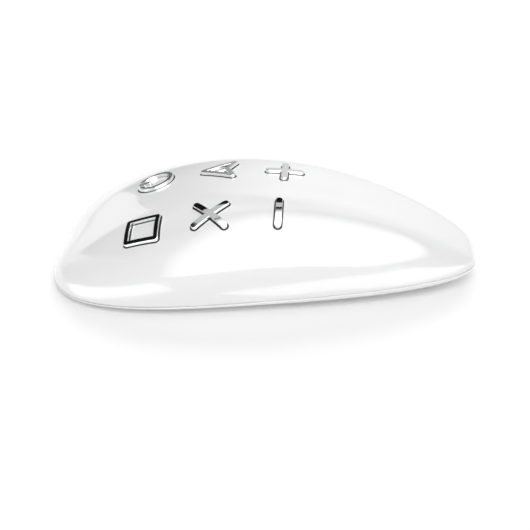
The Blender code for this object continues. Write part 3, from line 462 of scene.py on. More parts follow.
def cell_block(kind, edge):
    """Surface from a cell's edge to the key's opening, down its wall and back out inside.

    Rings run from the cell's edge to the opening's rounded lip, evenly in plan.
    """
    place = key_frame(kind)
    axes, origin = place
    local = (dome_points(edge[:, 0], edge[:, 1]) - origin) @ axes.T
    turns = np.arctan2(local[:, 1], local[:, 0])

    def loop(grow, inset=0.0):
        reach = symbol_reach(kind, turns, grow)
        return on_dome(place, reach * np.cos(turns), reach * np.sin(turns), inset)

    share = (np.linspace(0, 1, CELL_RINGS + 1) ** CELL_CROWDING)[::-1, None, None]
    outer_lip = loop(OPENING_GAP + LIP_RADIUS + STEP)[:, :2]
    spread = outer_lip * (1 - share) + edge * share
    rings = [dome_points(spread[..., 0], spread[..., 1])]
    for sine, rest in zip(*fillet()):
        lip = loop(OPENING_GAP + LIP_RADIUS * (1 - sine))
        rings.append((lip - axes[2] * LIP_RADIUS * rest)[None])
    wall_top = rings[-1]
    inner = loop(OPENING_GAP, WALL)
    rings.append(wall_top * 0.5 + inner * 0.5)
    rings.append(inner[None])
    inner_share = np.linspace(0, 1, INNER_CELL_RINGS + 1)[1:, None, None]
    spread = inner[:, :2] * (1 - inner_share) + edge * inner_share
    rings.append(dome_points(spread[..., 0], spread[..., 1], WALL))
    return np.concatenate(rings)


def dome_block(edge):
    """Surface from the keyed area's edge, inside, to the parting line and back over the outside.

    Each point keeps its angle on the plan's outline while its scale grows with the
    two-thirds power of a sine, which crowds the rings at the steep rim.
    """
    def side(inset, count):
        turns, scale = outline_turn_and_scale(edge[:, 0], edge[:, 1], inset)
        lean = np.arcsin(scale ** (SIDE_POWER / 2))
        share = np.linspace(0, 1, count + 1)[1:-1, None]
        scales = np.sin(lean + (math.pi / 2 - lean) * share) ** (2 / SIDE_POWER)
        x, y = plan_outline(turns, scales, inset)
        rim = np.stack(plan_outline(turns, 1.0, inset), axis=-1)
        return turns, dome_points(x, y, inset), rim

    _, inner, inner_rim = side(WALL, INNER_DOME_RINGS)
    turns, outer, _ = side(0.0, DOME_RINGS)
    rings = [dome_points(edge[:, 0], edge[:, 1], WALL)[None], inner,
             np.column_stack([inner_rim, rim_height(inner_rim[:, 0])])[None]]
    for sine, rest in zip(*fillet()):
        x, y = plan_outline(turns, 1.0, RIM_RADIUS * (1 - sine))
        rings.append(np.stack([x, y, rim_height(x) + RIM_RADIUS * rest], axis=-1)[None])
    x, y = plan_outline(turns)
    rings.append(np.stack([x, y, rim_height(x) + RIM_RADIUS + STEP], axis=-1)[None])
    rings += [outer[::-1], dome_points(edge[:, 0], edge[:, 1])[None]]
    return np.concatenate(rings)


def make_upper_shell():
    """Domed white shell with six rounded openings: one lattice a key and one for the rest."""
    rows, columns = cell_lines()
    blocks = []
    for column, pair in enumerate((("square", "power"), ("cross", "pointer"), ("minus", "plus"))):
        for row, kind in enumerate(pair):
            blocks.append(cell_block(kind, cell_edge(rows, columns, row, column)))
    blocks.append(dome_block(keyed_area_edge(rows, columns)))
    points, quads = merged(blocks)
    shell = make_piece("upper_shell_skin", points, quads.tolist())
    finish_piece(shell, "case", "white", "upper_shell")


# ---- lower shell and pad

def level_ring(turns, scale, inset, level, on_rim=False):
    """Ring on the scaled outline, at one level or at one lift from the parting plane."""
    x, y = plan_outline(turns, scale, inset)
    return np.stack([x, y, level + (rim_height(x) if on_rim else 0 * x)], axis=-1)


def make_lower_shell():
    """Tray through rings: pad recess, flat base, quarter-ellipse side, rounded rim and lip."""
    turns = even_turns(UNDER_POINTS)
    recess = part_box("base_pad")[1].z + SEAT
    grown = -SEAT / PAD_SCALE
    rings = [level_ring(turns, PAD_SCALE * share, grown, recess) for share in (0.25, 0.5, 0.75, 0.99, 1.0)]
    rings += [level_ring(turns, PAD_SCALE, grown, BASE_LIFT + RECESS_EDGE),
              level_ring(turns, PAD_SCALE, grown * 2, BASE_LIFT)]
    for lean in np.linspace(math.pi / 2, 0, SIDE_RINGS):
        scale = BASE_SCALE + (1 - BASE_SCALE) * math.cos(lean)
        x, y = plan_outline(turns, scale)
        top = rim_height(x / scale) - SEAM - RIM_RADIUS
        rings.append(np.stack([x, y, BASE_LIFT + (top - BASE_LIFT) * (1 - math.sin(lean))], axis=-1))
    for sine, rest in zip(*fillet()):
        rings.append(level_ring(turns, 1.0, RIM_RADIUS * rest, RIM_RADIUS * (sine - 1) - SEAM, True))
    outside = WALL + LIP_CLEARANCE
    inside = outside + LIP_WALL
    floor_top = BASE_LIFT + FLOOR
    for inset, lift in ((GROOVE_DEPTH, -SEAM), (GROOVE_DEPTH, -STEP), (outside, -STEP),
                        (outside, LIP_HEIGHT), (inside, LIP_HEIGHT)):
        rings.append(level_ring(turns, 1.0, inset, lift, True))
    foot = level_ring(turns, 1.0, inside, 0.0, True)
    foot[:, 2] = np.maximum(foot[:, 2], floor_top + SEAM)
    rings += [foot, level_ring(turns, CAVITY_SCALE, 0.0, floor_top)]
    hubs = [(0.0, SPINE_Y, level) for level in (recess, floor_top)]
    shell = piece_from_rings("lower_shell_tray", np.stack(rings), *hubs)
    cut_screw_wells(shell)
    finish_piece(shell, "case", "under", "lower_shell")


def cut_screw_wells(shell):
    """Cut a round well with a widened mouth for each case screw, up to its head."""
    turns = even_turns(SCREW_POINTS)
    for number in (1, 2, 3, 4):
        low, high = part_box(f"case_screw_{number}")
        middle = (low + high) / 2
        radius = (high.x - low.x) / 2 + SCREW_CLEARANCE
        profile = ((radius + 2 * SCREW_CHAMFER, BASE_LIFT - SCREW_CHAMFER),
                   (radius, BASE_LIFT + SCREW_CHAMFER),
                   (radius, low.z + SCREW_CLEARANCE + SCREW_HEAD))
        rings = [np.stack([middle.x + r * np.cos(turns), middle.y + r * np.sin(turns),
                           np.full_like(turns, z)], axis=-1) for r, z in profile]
        hubs = [(middle.x, middle.y, z) for z in (profile[0][1], profile[-1][1])]
        cutter = piece_from_rings("screw_well", np.stack(rings), *hubs)
        cut = shell.modifiers.new("well", "BOOLEAN")
        cut.operation = "DIFFERENCE"
        cut.solver = "EXACT"
        cut.object = cutter
        bpy.context.view_layer.update()
        shape = shell.evaluated_get(bpy.context.evaluated_depsgraph_get())
        shell.data = bpy.data.meshes.new_from_object(shape)
        shell.modifiers.clear()
        bpy.data.objects.remove(cutter)
    shell.data.name = shell.name
    shell.data.set_sharp_from_angle(angle=SHARP_ANGLE)


def make_base_pad():
    """Soft pad with rounded edges; the ribs on its face are in its finish."""
    turns = even_turns(UNDER_POINTS)
    low, high = (corner.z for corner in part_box("base_pad"))
    rings = [level_ring(turns, PAD_SCALE * share, PAD_EDGE / PAD_SCALE, low)
             for share in np.linspace(HUB_SHARE, 1, PAD_RINGS)]
    for sine, rest in zip(*fillet()):
        rings.append(level_ring(turns, PAD_SCALE, PAD_EDGE * (1 - sine) / PAD_SCALE, low + PAD_EDGE * rest))
    rings += [level_ring(turns, PAD_SCALE * share, 0.0, high) for share in (1.0, HUB_SHARE)]
    hubs = [(0.0, SPINE_Y, level) for level in (low, high)]
    pad = piece_from_rings("base_pad_ribbed", np.stack(rings), *hubs)
    finish_piece(pad, "case", "rubber", "base_pad")


# ---- keys

def key_ring(place, kind, grow, level):
    """Ring on a symbol's grown outline at one level."""
    turns = even_turns(KEY_POINTS)
    reach = symbol_reach(kind, turns, grow)
    return from_key(place, reach * np.cos(turns), reach * np.sin(turns), level)


def crowned(place, u, v, rise):
    """Points at a rise above the dome over (u, v), so that a cap's face follows the shell."""
    axes, _ = place
    return on_dome(place, u, v) + axes[2] * rise


def face_rings(place, kind, grow, rise, shares):
    """Rings over the dome that shrink from a symbol's grown outline towards its middle."""
    turns = even_turns(KEY_POINTS)
    reach = symbol_reach(kind, turns, grow)
    return [crowned(place, share * reach * np.cos(turns), share * reach * np.sin(turns), rise)
            for share in shares]


def crowned_ring(place, kind, grow, rise):
    return face_rings(place, kind, grow, rise, (1.0,))[0]


def rounded_edge(place, kind, grow, high, inwards=1):
    """Rings over a quarter turn that end at the level high, the cap's radius further in or out."""
    return [crowned_ring(place, kind, grow - inwards * CAP_RADIUS * rest, high - CAP_RADIUS * (1 - sine))
            for sine, rest in zip(*fillet())]


def make_solid_cap(kind, place, low, high):
    """Cap with a filled face: wall, rounded edge and a face crowned as the shell."""
    rings = [key_ring(place, kind, 0.0, low),
             crowned_ring(place, kind, 0.0, high - CAP_RADIUS - STEP)]
    rings += rounded_edge(place, kind, 0.0, high)
    rings += face_rings(place, kind, -CAP_RADIUS, high, (0.995, 0.85, 0.7, 0.55, 0.4, 0.25, 0.12))
    hubs = from_key(place, np.zeros(2), np.zeros(2), np.array([low, high]))
    return piece_from_rings(f"key_cap_{kind}_chrome", np.stack(rings), *hubs)


def make_outline_cap(kind, place, low, high):
    """Cap of an outlined symbol: outer wall, crowned face and inner wall, closed on itself."""
    wall_top = high - CAP_RADIUS - STEP
    rings = [key_ring(place, kind, 0.0, low), crowned_ring(place, kind, 0.0, wall_top)]
    rings += rounded_edge(place, kind, 0.0, high)
    rings += [crowned_ring(place, kind, -share * OUTLINE_STROKE, high) for share in (0.12, 0.5, 0.88)]
    rings += rounded_edge(place, kind, -OUTLINE_STROKE, high, inwards=-1)[::-1]
    rings += [crowned_ring(place, kind, -OUTLINE_STROKE, wall_top),
              key_ring(place, kind, -OUTLINE_STROKE, low)]
    return piece_from_rings(f"key_cap_{kind}_chrome", np.stack(rings), closed=True)


def power_gap(radius, margin):
    """Half angle of the power symbol's gap at a radius, less a margin."""
    return math.asin((OUTLINE_STROKE / 2 + 2 * ISLAND_CLEARANCE + POWER_TAB - margin) / radius)


def band_piece(name, place, half_lines, low, high):
    """Long piece between two side lines: half_lines(grow) gives both from end to end.

    The rings follow the band's outline; the top and bottom are ladders of quads.
    """
    profile = [(0.0, low), (0.0, high - CAP_RADIUS - STEP)]
    profile += [(-CAP_RADIUS * rest, high - CAP_RADIUS * (1 - sine)) for sine, rest in zip(*fillet())]
    rings = []
    for grow, level in profile:
        outer, inner = half_lines(grow)
        line = np.vstack([outer, inner[::-1]])
        if level == low:
            rings.append(from_key(place, line[:, 0], line[:, 1], level))
        else:
            rings.append(crowned(place, line[:, 0], line[:, 1], level))
    rings = np.stack(rings)
    rows, columns = rings.shape[:2]
    step = np.arange(columns // 2 - 1)
    ladder = np.stack([step, step + 1, columns - 2 - step, columns - 1 - step], axis=1)
    faces = (lattice_faces(rows, columns).tolist() + (ladder[:, ::-1]).tolist()
             + (ladder + (rows - 1) * columns).tolist())
    return make_piece(name, rings.reshape(-1, 3), faces)


def power_arc_lines(grow):
    """Outer and inner arcs of the power symbol, open towards -X."""
    lines = []
    for radius in (GLYPH / 2 + grow, GLYPH / 2 - OUTLINE_STROKE - grow):
        gap = power_gap(radius, grow)
        turns = np.linspace(-math.pi + gap, math.pi - gap, ARC_POINTS)
        lines.append(np.stack([radius * np.cos(turns), radius * np.sin(turns)], axis=1))
    return lines


def power_bar_lines(grow):
    """Two side lines of the power symbol's bar, which meet in its rounded ends."""
    half = OUTLINE_STROKE / 2 + grow
    turns = np.linspace(-math.pi / 2, 0, BAR_END_POINTS)
    ends = []
    for centre, facing in ((-GLYPH / 2 + OUTLINE_STROKE / 2, -1),
                           (-POWER_BAR_INNER - OUTLINE_STROKE / 2, 1)):
        ends.append(np.stack([centre + facing * half * np.cos(turns), half * np.sin(turns)], axis=1))
    near = np.vstack([ends[0][::-1], ends[1]])
    return [near, near * (1, -1)]


def make_caps():
    """Six chrome symbols, each riding with its own key."""
    for kind in KEY_KINDS:
        place = key_frame(kind)
        low, high = key_span(place, f"key_cap_{kind}")
        if kind == "power":
            cap = band_piece("key_cap_power_chrome", place, power_arc_lines, low, high)
            bar = band_piece("key_cap_power_bar_chrome", place, power_bar_lines, low, high)
            finish_piece(bar, "key_power", "chrome", "key_cap_power_bar")
        elif kind in ("square", "pointer"):
            cap = make_outline_cap(kind, place, low, high)
        else:
            cap = make_solid_cap(kind, place, low, high)
        finish_piece(cap, f"key_{kind}", "chrome", f"key_cap_{kind}")


def make_islands():
    """White plungers of the outlined symbols: stem, flange and an island curved as the shell."""
    turns = even_turns(KEY_POINTS)
    for kind in ("square", "pointer"):
        place = key_frame(kind)
        low, _ = key_span(place, f"key_plunger_{kind}")
        flange_top = key_span(place, f"key_cap_{kind}")[0] - SEAT
        flange_low = flange_top - FLANGE
        island = -OUTLINE_STROKE - ISLAND_GROOVE
        rings = [from_key(place, STEM_RADIUS * np.cos(turns), STEM_RADIUS * np.sin(turns), level)
                 for level in (low, flange_low)]
        margin = KEY_CLEARANCE + FLANGE_MARGIN
        rings += [key_ring(place, kind, grow, level) for grow, level in
                  ((margin, flange_low), (margin, flange_top), (island, flange_top))]
        rings.append(crowned_ring(place, kind, island, -ISLAND_DROP - CAP_RADIUS - STEP))
        rings += rounded_edge(place, kind, island, -ISLAND_DROP)
        rings += face_rings(place, kind, island - CAP_RADIUS, -ISLAND_DROP, (0.99, 0.8, 0.6, 0.4, 0.2))
        hub = from_key(place, np.zeros(1), np.zeros(1), np.array([low]))[0]
        top = crowned(place, np.zeros(1), np.zeros(1), -ISLAND_DROP)[0]
        plunger = piece_from_rings(f"key_plunger_{kind}_island", np.stack(rings), hub, top)
        finish_piece(plunger, f"key_{kind}", "white", f"key_plunger_{kind}")


def painted_shade_ring(name, kind, outer, inner, top):
    """Thin dark ring of painted shade that follows the dome; its walls run from a depth of top to the ring's full
    depth.
    """
    place = key_frame(kind)
    rings = [crowned_ring(place, kind, grow, -depth) for grow, depth in
             ((inner, SHADE_RING_DEPTH), (outer, SHADE_RING_DEPTH), (outer, top), (inner, top))]
    return piece_from_rings(name, np.stack(rings), closed=True)


def make_painted_shade_rings():
    """Dark rings of painted shade in the gaps round the keys, and in the grooves round the two islands."""
    for kind in KEY_KINDS:
        outer = OPENING_GAP - SHADE_RING_GAP
        # a black ring in the gap round each key paints the shade that falls there
        key_shade = painted_shade_ring(f"key_gap_painted_shade_{kind}", kind, outer, outer - SHADE_RING_WALL, SHADE_RING_TOP)
        finish_piece(key_shade, "case", "black")
        if kind in ("square", "pointer"):
            # a black ring in the groove round each island paints the shade that falls there
            groove = painted_shade_ring(f"island_groove_painted_shade_{kind}", kind, -OUTLINE_STROKE - SHADE_RING_GAP,
                               -OUTLINE_STROKE - ISLAND_GROOVE + SHADE_RING_GAP, ISLAND_DROP + 2 * STEP)
            finish_piece(groove, f"key_{kind}", "black")


def finish_piece(piece, body, slot, *nodes):
    """Give a piece its slot's material, its body and the CAD nodes that it stands for."""
    piece.data.materials.clear()
    piece.data.materials.append(slot_finishes[slot].material)
    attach(piece, body)
    if nodes:
        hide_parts(*nodes)


# ---- materials

def add(tree, kind, sockets=None, **settings):
    """New shader node; each of its sockets is given a value or another node's output."""
    node = tree.nodes.new(f"ShaderNode{kind}")
    for name, value in settings.items():
        setattr(node, name, value)
    for name, value in (sockets or {}).items():
        if isinstance(value, bpy.types.NodeSocket):
            tree.links.new(value, node.inputs[name])
        else:
            node.inputs[name].default_value = value
    return node


def math_node(tree, operation, first, second=0.0, clamp=False):
    """Output of one sum."""
    return add(tree, "Math", {0: first, 1: second}, operation=operation, use_clamp=clamp).outputs[0]


def ramp(tree, value, start, end, low=0.0, high=1.0):
    """Smooth step of a value from low at start to high at end."""
    return add(tree, "MapRange", {"Value": value, "From Min": start, "From Max": end, "To Min": low,
                                  "To Max": high}, interpolation_type="SMOOTHSTEP").outputs["Result"]


def new_group(name, inputs, output, kind="NodeSocketFloat"):
    """Shader node group with named sockets; the inputs' kinds follow from their defaults."""
    tree = bpy.data.node_groups.new(name, "ShaderNodeTree")
    for label, value in inputs.items():
        size = len(value) if isinstance(value, tuple) else 1
        socket = tree.interface.new_socket(label, in_out="INPUT", socket_type={
            1: "NodeSocketFloat", 3: "NodeSocketVector", 4: "NodeSocketColor"}[size])
        socket.default_value = value
    tree.interface.new_socket(output, in_out="OUTPUT", socket_type=kind)
    return tree, tree.nodes.new("NodeGroupInput").outputs, tree.nodes.new("NodeGroupOutput")


@functools.cache
def colour_drift():
    """Slow cloudy change between two shades of one colour."""
    tree, given, result = new_group("colour_drift", {
        "Vector": ORIGIN, "Scale": 40.0, "Light": (1.0, 1.0, 1.0, 1.0), "Dark": (0.5, 0.5, 0.5, 1.0)
    }, "Colour", "NodeSocketColor")
    cloud = add(tree, "TexNoise", {"Vector": given["Vector"], "Scale": given["Scale"], "Detail": 4.0})
    share = ramp(tree, cloud.outputs["Fac"], 0.3, 0.7)
    mix = add(tree, "MixRGB", {"Fac": share, "Color1": given["Light"], "Color2": given["Dark"]})
    tree.links.new(mix.outputs["Color"], result.inputs["Colour"])
    return tree


@functools.cache
def handling_marks():
    """Roughness that rises in soft smudges and along two sets of crossing hairline scratches.

    A hairline is where a noise, stretched along one direction, is near its middle value.
    """
    tree, given, result = new_group("handling_marks", {
        "Vector": ORIGIN, "Scale": 70.0, "Hairlines": 900.0, "Clean": 0.2, "Worn": 0.3}, "Roughness")
    smudge = add(tree, "TexNoise", {"Vector": given["Vector"], "Scale": given["Scale"], "Detail": 5.0})
    wear = ramp(tree, smudge.outputs["Fac"], 0.42, 0.72, 0.0, 0.7)
    for turn in (0.5, -1.1):
        turned = add(tree, "Mapping", {"Vector": given["Vector"], "Rotation": (0.0, 0.4 * turn, turn),
                                       "Scale": (0.03, 1.0, 1.0)})
        streak = add(tree, "TexNoise", {"Vector": turned.outputs["Vector"], "Scale": given["Hairlines"],
                                        "Detail": 1.0})
        gap = math_node(tree, "ABSOLUTE", math_node(tree, "SUBTRACT", streak.outputs["Fac"], 0.5))
        wear = math_node(tree, "ADD", wear, ramp(tree, gap, 0.0, 0.012, 0.35, 0.0), clamp=True)
    blend = add(tree, "MapRange", {"Value": wear, "To Min": given["Clean"], "To Max": given["Worn"]})
    tree.links.new(blend.outputs["Result"], result.inputs["Roughness"])
    return tree


@functools.cache
def moulded_grain():
    """Height of a fine grain: a coarse and a twice as fine noise added."""
    tree, given, result = new_group("moulded_grain", {"Vector": ORIGIN, "Scale": 4000.0}, "Height")
    coarse = add(tree, "TexNoise", {"Vector": given["Vector"], "Scale": given["Scale"], "Detail": 2.0})
    double = math_node(tree, "MULTIPLY", given["Scale"], 2.3)
    fine = add(tree, "TexNoise", {"Vector": given["Vector"], "Scale": double, "Detail": 2.0})
    half = math_node(tree, "MULTIPLY", fine.outputs["Fac"], 0.5)
    tree.links.new(math_node(tree, "ADD", coarse.outputs["Fac"], half), result.inputs["Height"])
    return tree


@functools.cache
def brushed_lines():
    """Height of long fine lines: a noise stretched forty times along X."""
    tree, given, result = new_group("brushed_lines", {"Vector": ORIGIN, "Scale": 9000.0}, "Height")
    stretched = add(tree, "Mapping", {"Vector": given["Vector"], "Scale": (0.025, 1.0, 1.0)})
    line = add(tree, "TexNoise", {"Vector": stretched.outputs["Vector"], "Scale": given["Scale"],
                                  "Detail": 3.0})
    tree.links.new(line.outputs["Fac"], result.inputs["Height"])
    return tree


@functools.cache
def even_lines():
    """Height of rounded ribs at an even spacing: half of one plus the sine of the distance."""
    tree, given, result = new_group("even_lines", {"Distance": 0.0, "Spacing": 0.001}, "Height")
    turns = math_node(tree, "DIVIDE", math_node(tree, "MULTIPLY", given["Distance"], 2 * math.pi),
                      given["Spacing"])
    swing = math_node(tree, "MULTIPLY", math_node(tree, "SINE", turns), 0.5)
    tree.links.new(math_node(tree, "ADD", swing, 0.5), result.inputs["Height"])
    return tree


class Finish:
    """A material with drifting colour, handling marks as roughness and a relief as bump."""

    def __init__(self, name, light, dark, clean, worn, metallic=0.0, coat=0.0):
        self.material = bpy.data.materials.new(name)
        self.material.use_nodes = True
        self.tree = self.material.node_tree
        self.shader = self.tree.nodes["Principled BSDF"]
        self.shader.inputs["Metallic"].default_value = metallic
        self.shader.inputs["Coat Weight"].default_value = coat
        self.shader.inputs["Coat Roughness"].default_value = COAT_ROUGHNESS
        self.place = add(self.tree, "TexCoord").outputs["Object"]
        self.normal = None
        marks = self.effect(handling_marks(), {"Clean": clean, "Worn": worn})
        self.tree.links.new(marks, self.shader.inputs["Roughness"])
        self.colour = self.effect(colour_drift(), {"Light": (*light, 1.0), "Dark": (*dark, 1.0)})
        self.tree.links.new(self.colour, self.shader.inputs["Base Color"])

    def node(self, kind, sockets=None, **settings):
        return add(self.tree, kind, sockets, **settings)

    def effect(self, group, values):
        """Output of a shared effect, placed on the object's coordinates."""
        return self.node("Group", {"Vector": self.place} | values, node_tree=group).outputs[0]

    def relief(self, height, depth):
        """Add a height, of the given depth in metres, to the bump."""
        bump = self.node("Bump", {"Height": height, "Distance": depth})
        if self.normal is not None:
            self.tree.links.new(self.normal, bump.inputs["Normal"])
        self.normal = bump.outputs["Normal"]
        self.tree.links.new(self.normal, self.shader.inputs["Normal"])
        return self

    def grain(self, scale, depth):
        """Add a moulded grain with the given number of grains a metre."""
        return self.relief(self.effect(moulded_grain(), {"Scale": scale}), depth)

    def axis(self, name):
        return self.node("SeparateXYZ", {"Vector": self.place}).outputs[name]

    def lines(self, distance, spacing):
        """Height of even lines along a distance."""
        return self.node("Group", {"Distance": distance, "Spacing": spacing},
                         node_tree=even_lines()).outputs["Height"]

    def away_from(self, point, flat=False):
        """Distance from a point, or in plan only."""
        offset = self.node("Mapping", {"Vector": self.place, "Location": tuple(-c for c in point),
                                       "Scale": (1.0, 1.0, 0.0 if flat else 1.0)})
        return self.node("VectorMath", {0: offset.outputs["Vector"]}, operation="LENGTH").outputs["Value"]

    def cells(self, scale, **settings):
        """Distance to the nearest point of a scatter with the given number of points a metre."""
        return self.node("TexVoronoi", {"Vector": self.place, "Scale": scale}, **settings)

    def paint(self, mask, colour):
        """Lay a colour over the base where the mask is one."""
        mix = self.node("MixRGB", {"Fac": mask, "Color1": self.colour, "Color2": (*colour, 1.0)})
        self.colour = mix.outputs["Color"]
        self.tree.links.new(self.colour, self.shader.inputs["Base Color"])
        return self


def grained(name, light, dark, clean, worn, grains=4200.0, depth=0.02 * MM, **shine):
    """Finish with only a fine grain: grains a metre, and their depth."""
    return Finish(name, light, dark, clean, worn, **shine).grain(grains, depth)


def gloss_white(name="gloss_white"):
    """Glossy moulded plastic under a clear coat, with a faint wave from the mould."""
    return grained(name, (0.88, 0.88, 0.883), (0.87, 0.87, 0.874), 0.18, 0.26, 900.0, 0.0005 * MM, coat=1.0)


def gloss_under():
    """The same plastic; its base, below the curved side, is left satin by a grained mould."""
    finish = gloss_white("gloss_under")
    satin = ramp(finish.tree, finish.axis("Z"), 0.45 * MM, 0.95 * MM, 1.0, 0.0)
    fine = finish.effect(moulded_grain(), {})
    return finish.relief(math_node(finish.tree, "MULTIPLY", fine, satin), 0.02 * MM)


def brushed_steel():
    """Brushed steel with dulled patches."""
    finish = Finish("brushed_steel", (0.66, 0.655, 0.645), (0.52, 0.52, 0.515), 0.24, 0.42, metallic=1.0)
    return finish.relief(finish.effect(brushed_lines(), {}), 0.004 * MM)


def ribbed_rubber():
    """Dark soft pad: rounded ribs across its face over a fine grain."""
    finish = Finish("ribbed_rubber", (0.06, 0.06, 0.064), (0.04, 0.04, 0.043), 0.66, 0.82)
    finish.relief(finish.lines(finish.axis("Y"), 1.4 * MM), 0.25 * MM)
    return finish.grain(3500.0, 0.02 * MM)


def pouch_foil():
    """Laminated foil of the battery pouch, softly crinkled, with painted shade in its folds."""
    finish = Finish("pouch_foil", (0.7, 0.7, 0.71), (0.6, 0.605, 0.62), 0.3, 0.46, metallic=0.85)
    crinkle = finish.cells(260.0, feature="SMOOTH_F1").outputs["Distance"]
    # the darker colour in the folds is painted shade
    finish.paint(ramp(finish.tree, crinkle, 0.45, 0.8, 0.0, 0.4), (0.45, 0.455, 0.47))
    return finish.relief(crinkle, 0.12 * MM).grain(2500.0, 0.01 * MM)


def coil_copper():
    """Enamelled windings: even rings round the coil's middle, with painted shade between the turns."""
    finish = Finish("coil_copper", (0.78, 0.36, 0.17), (0.66, 0.27, 0.11), 0.22, 0.34, metallic=1.0, coat=0.4)
    low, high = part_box("charge_coil")
    rings = finish.lines(finish.away_from((low + high) / 2, flat=True), 0.45 * MM)
    # the dark colour between the turns is painted shade
    finish.paint(ramp(finish.tree, rings, 0.0, 0.4, 1.0, 0.0), (0.14, 0.05, 0.02))
    return finish.relief(rings, 0.1 * MM)


def ferrite():
    """Sintered ferrite: nearly black, with small lighter grains as painted glints."""
    finish = Finish("ferrite", (0.06, 0.058, 0.056), (0.035, 0.034, 0.034), 0.42, 0.6)
    # small lighter grains stand for glints: a painted highlight
    painted_glint = ramp(finish.tree, finish.cells(2200.0).outputs["Distance"], 0.0, 0.18, 0.6, 0.0)
    return finish.paint(painted_glint, (0.2, 0.195, 0.19)).grain(3800.0, 0.012 * MM)


def chip_epoxy(node):
    """Matt moulded chip with the small round mark of its first pin in one corner."""
    finish = Finish(f"epoxy_{node}", (0.045, 0.045, 0.047), (0.03, 0.03, 0.032), 0.5, 0.64)
    low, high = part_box(node)
    inset = 0.2 * min(high.x - low.x, high.y - low.y)
    away = finish.away_from((low.x + inset, high.y - inset, high.z))
    mark = ramp(finish.tree, away, 0.35 * inset, 0.45 * inset, 1.0, 0.0)
    finish.paint(mark, (0.16, 0.16, 0.165))
    finish.relief(math_node(finish.tree, "MULTIPLY", mark, -1.0), 0.05 * MM)
    return finish.grain(5200.0, 0.012 * MM)


def board_green():
    """Solder mask over copper: raised lighter traces on a grid, and gold-plated holes."""
    finish = Finish("board_green", (0.02, 0.13, 0.06), (0.015, 0.1, 0.045), 0.26, 0.36, coat=0.3)
    grid = finish.node("TexBrick", {"Vector": finish.place, "Scale": 210.0, "Mortar Size": 0.028},
                       offset=0.35).outputs["Fac"]
    finish.paint(grid, (0.05, 0.24, 0.11)).relief(grid, 0.03 * MM)
    hole = finish.cells(330.0)
    hole.inputs["Randomness"].default_value = 0.7
    finish.paint(ramp(finish.tree, hole.outputs["Distance"], 0.13, 0.16, 1.0, 0.0), (0.78, 0.57, 0.2))
    return finish.grain(2600.0, 0.004 * MM)


def ribbon_amber():
    """Polyimide film over parallel copper tracks."""
    finish = Finish("ribbon_amber", (0.72, 0.36, 0.07), (0.62, 0.29, 0.05), 0.22, 0.34, coat=0.4)
    low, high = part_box("switch_ribbon")
    across = "Y" if high.x - low.x > high.y - low.y else "X"
    tracks = finish.lines(finish.axis(across), 0.6 * MM)
    finish.paint(ramp(finish.tree, tracks, 0.45, 0.6), (0.4, 0.15, 0.04))
    return finish.relief(tracks, 0.02 * MM)


slot_finishes = {
    "white": gloss_white(), "under": gloss_under(), "rubber": ribbed_rubber(), "steel": brushed_steel(),
    "silver": pouch_foil(), "copper": coil_copper(), "board": board_green(), "amber": ribbon_amber(),
    "chrome": Finish("chrome", (0.87, 0.875, 0.88), (0.84, 0.845, 0.855), 0.05, 0.08, metallic=1.0),
    "red": grained("lead_red", (0.52, 0.03, 0.025), (0.42, 0.02, 0.02), 0.3, 0.42, 1500.0, 0.01 * MM,
                   coat=0.2),
    # also the colour of the black rings of painted shade round the keys and islands
    "black": grained("moulded_black", (0.05, 0.05, 0.052), (0.032, 0.032, 0.034), 0.42, 0.58),
    "ivory": grained("nylon_ivory", (0.74, 0.7, 0.58), (0.68, 0.64, 0.52), 0.36, 0.5),
    "grey": grained("moulded_grey", (0.26, 0.265, 0.27), (0.21, 0.215, 0.22), 0.42, 0.58)}
screw_black = grained("blackened_steel", (0.2, 0.2, 0.205), (0.12, 0.12, 0.125), 0.3, 0.48,
                      5000.0, 0.004 * MM, metallic=1.0)
node_finishes = {"ferrite_sheet": ferrite(),
                 "motor_cradle": grained("soft_black", (0.05, 0.05, 0.052), (0.03, 0.03, 0.032),
                                         0.6, 0.75, 3000.0, 0.015 * MM)}
node_finishes |= {node: chip_epoxy(node) for node in ("charge_controller_chip", "motion_sensor_chip")}
node_finishes |= dict.fromkeys([f"case_screw_{number}" for number in (1, 2, 3, 4)], screw_black)


def finish_nodes():
    """Give every CAD node the finish of its slot, or its own."""
    for subpart in frame["record"]["subparts"]:
        node = subpart["node"]
        finish = node_finishes.get(node, slot_finishes[subpart["material_slot"]])
        for slot in frame["nodes"][node].material_slots:
            slot.material = finish.material


# ---- studio

def make_camera():
    """Long lens, from the near side and above; the aim is offset in the picture's plane."""
    back = Vector((math.sin(CAMERA_TURN) * math.cos(CAMERA_RISE),
                   -math.cos(CAMERA_TURN) * math.cos(CAMERA_RISE), math.sin(CAMERA_RISE)))
    right = Vector((math.cos(CAMERA_TURN), math.sin(CAMERA_TURN), 0.0))
    up = back.cross(right)
    target = right * CAMERA_AIM[0] + up * CAMERA_AIM[1] + Vector((0.0, SPINE_Y, 0.0))
    rolled_right = right * math.cos(CAMERA_ROLL) + up * math.sin(CAMERA_ROLL)
    rolled_up = up * math.cos(CAMERA_ROLL) - right * math.sin(CAMERA_ROLL)
    camera = add_object("camera", bpy.data.cameras.new("camera"))
    camera.data.lens = CAMERA_LENS
    camera.data.sensor_width = SENSOR_WIDTH
    camera.data.clip_start = 0.01
    camera.matrix_world = Matrix((rolled_right, rolled_up, back)).transposed().to_4x4()
    camera.location = target + back * CAMERA_DISTANCE
    bpy.context.scene.camera = camera


def flat_object(name, corners):
    """Flat face through corners in plan."""
    mesh = bpy.data.meshes.new(name)
    mesh.from_pydata([(x, y, 0.0) for x, y in corners], [], [tuple(range(len(corners)))])
    return add_object(name, mesh)


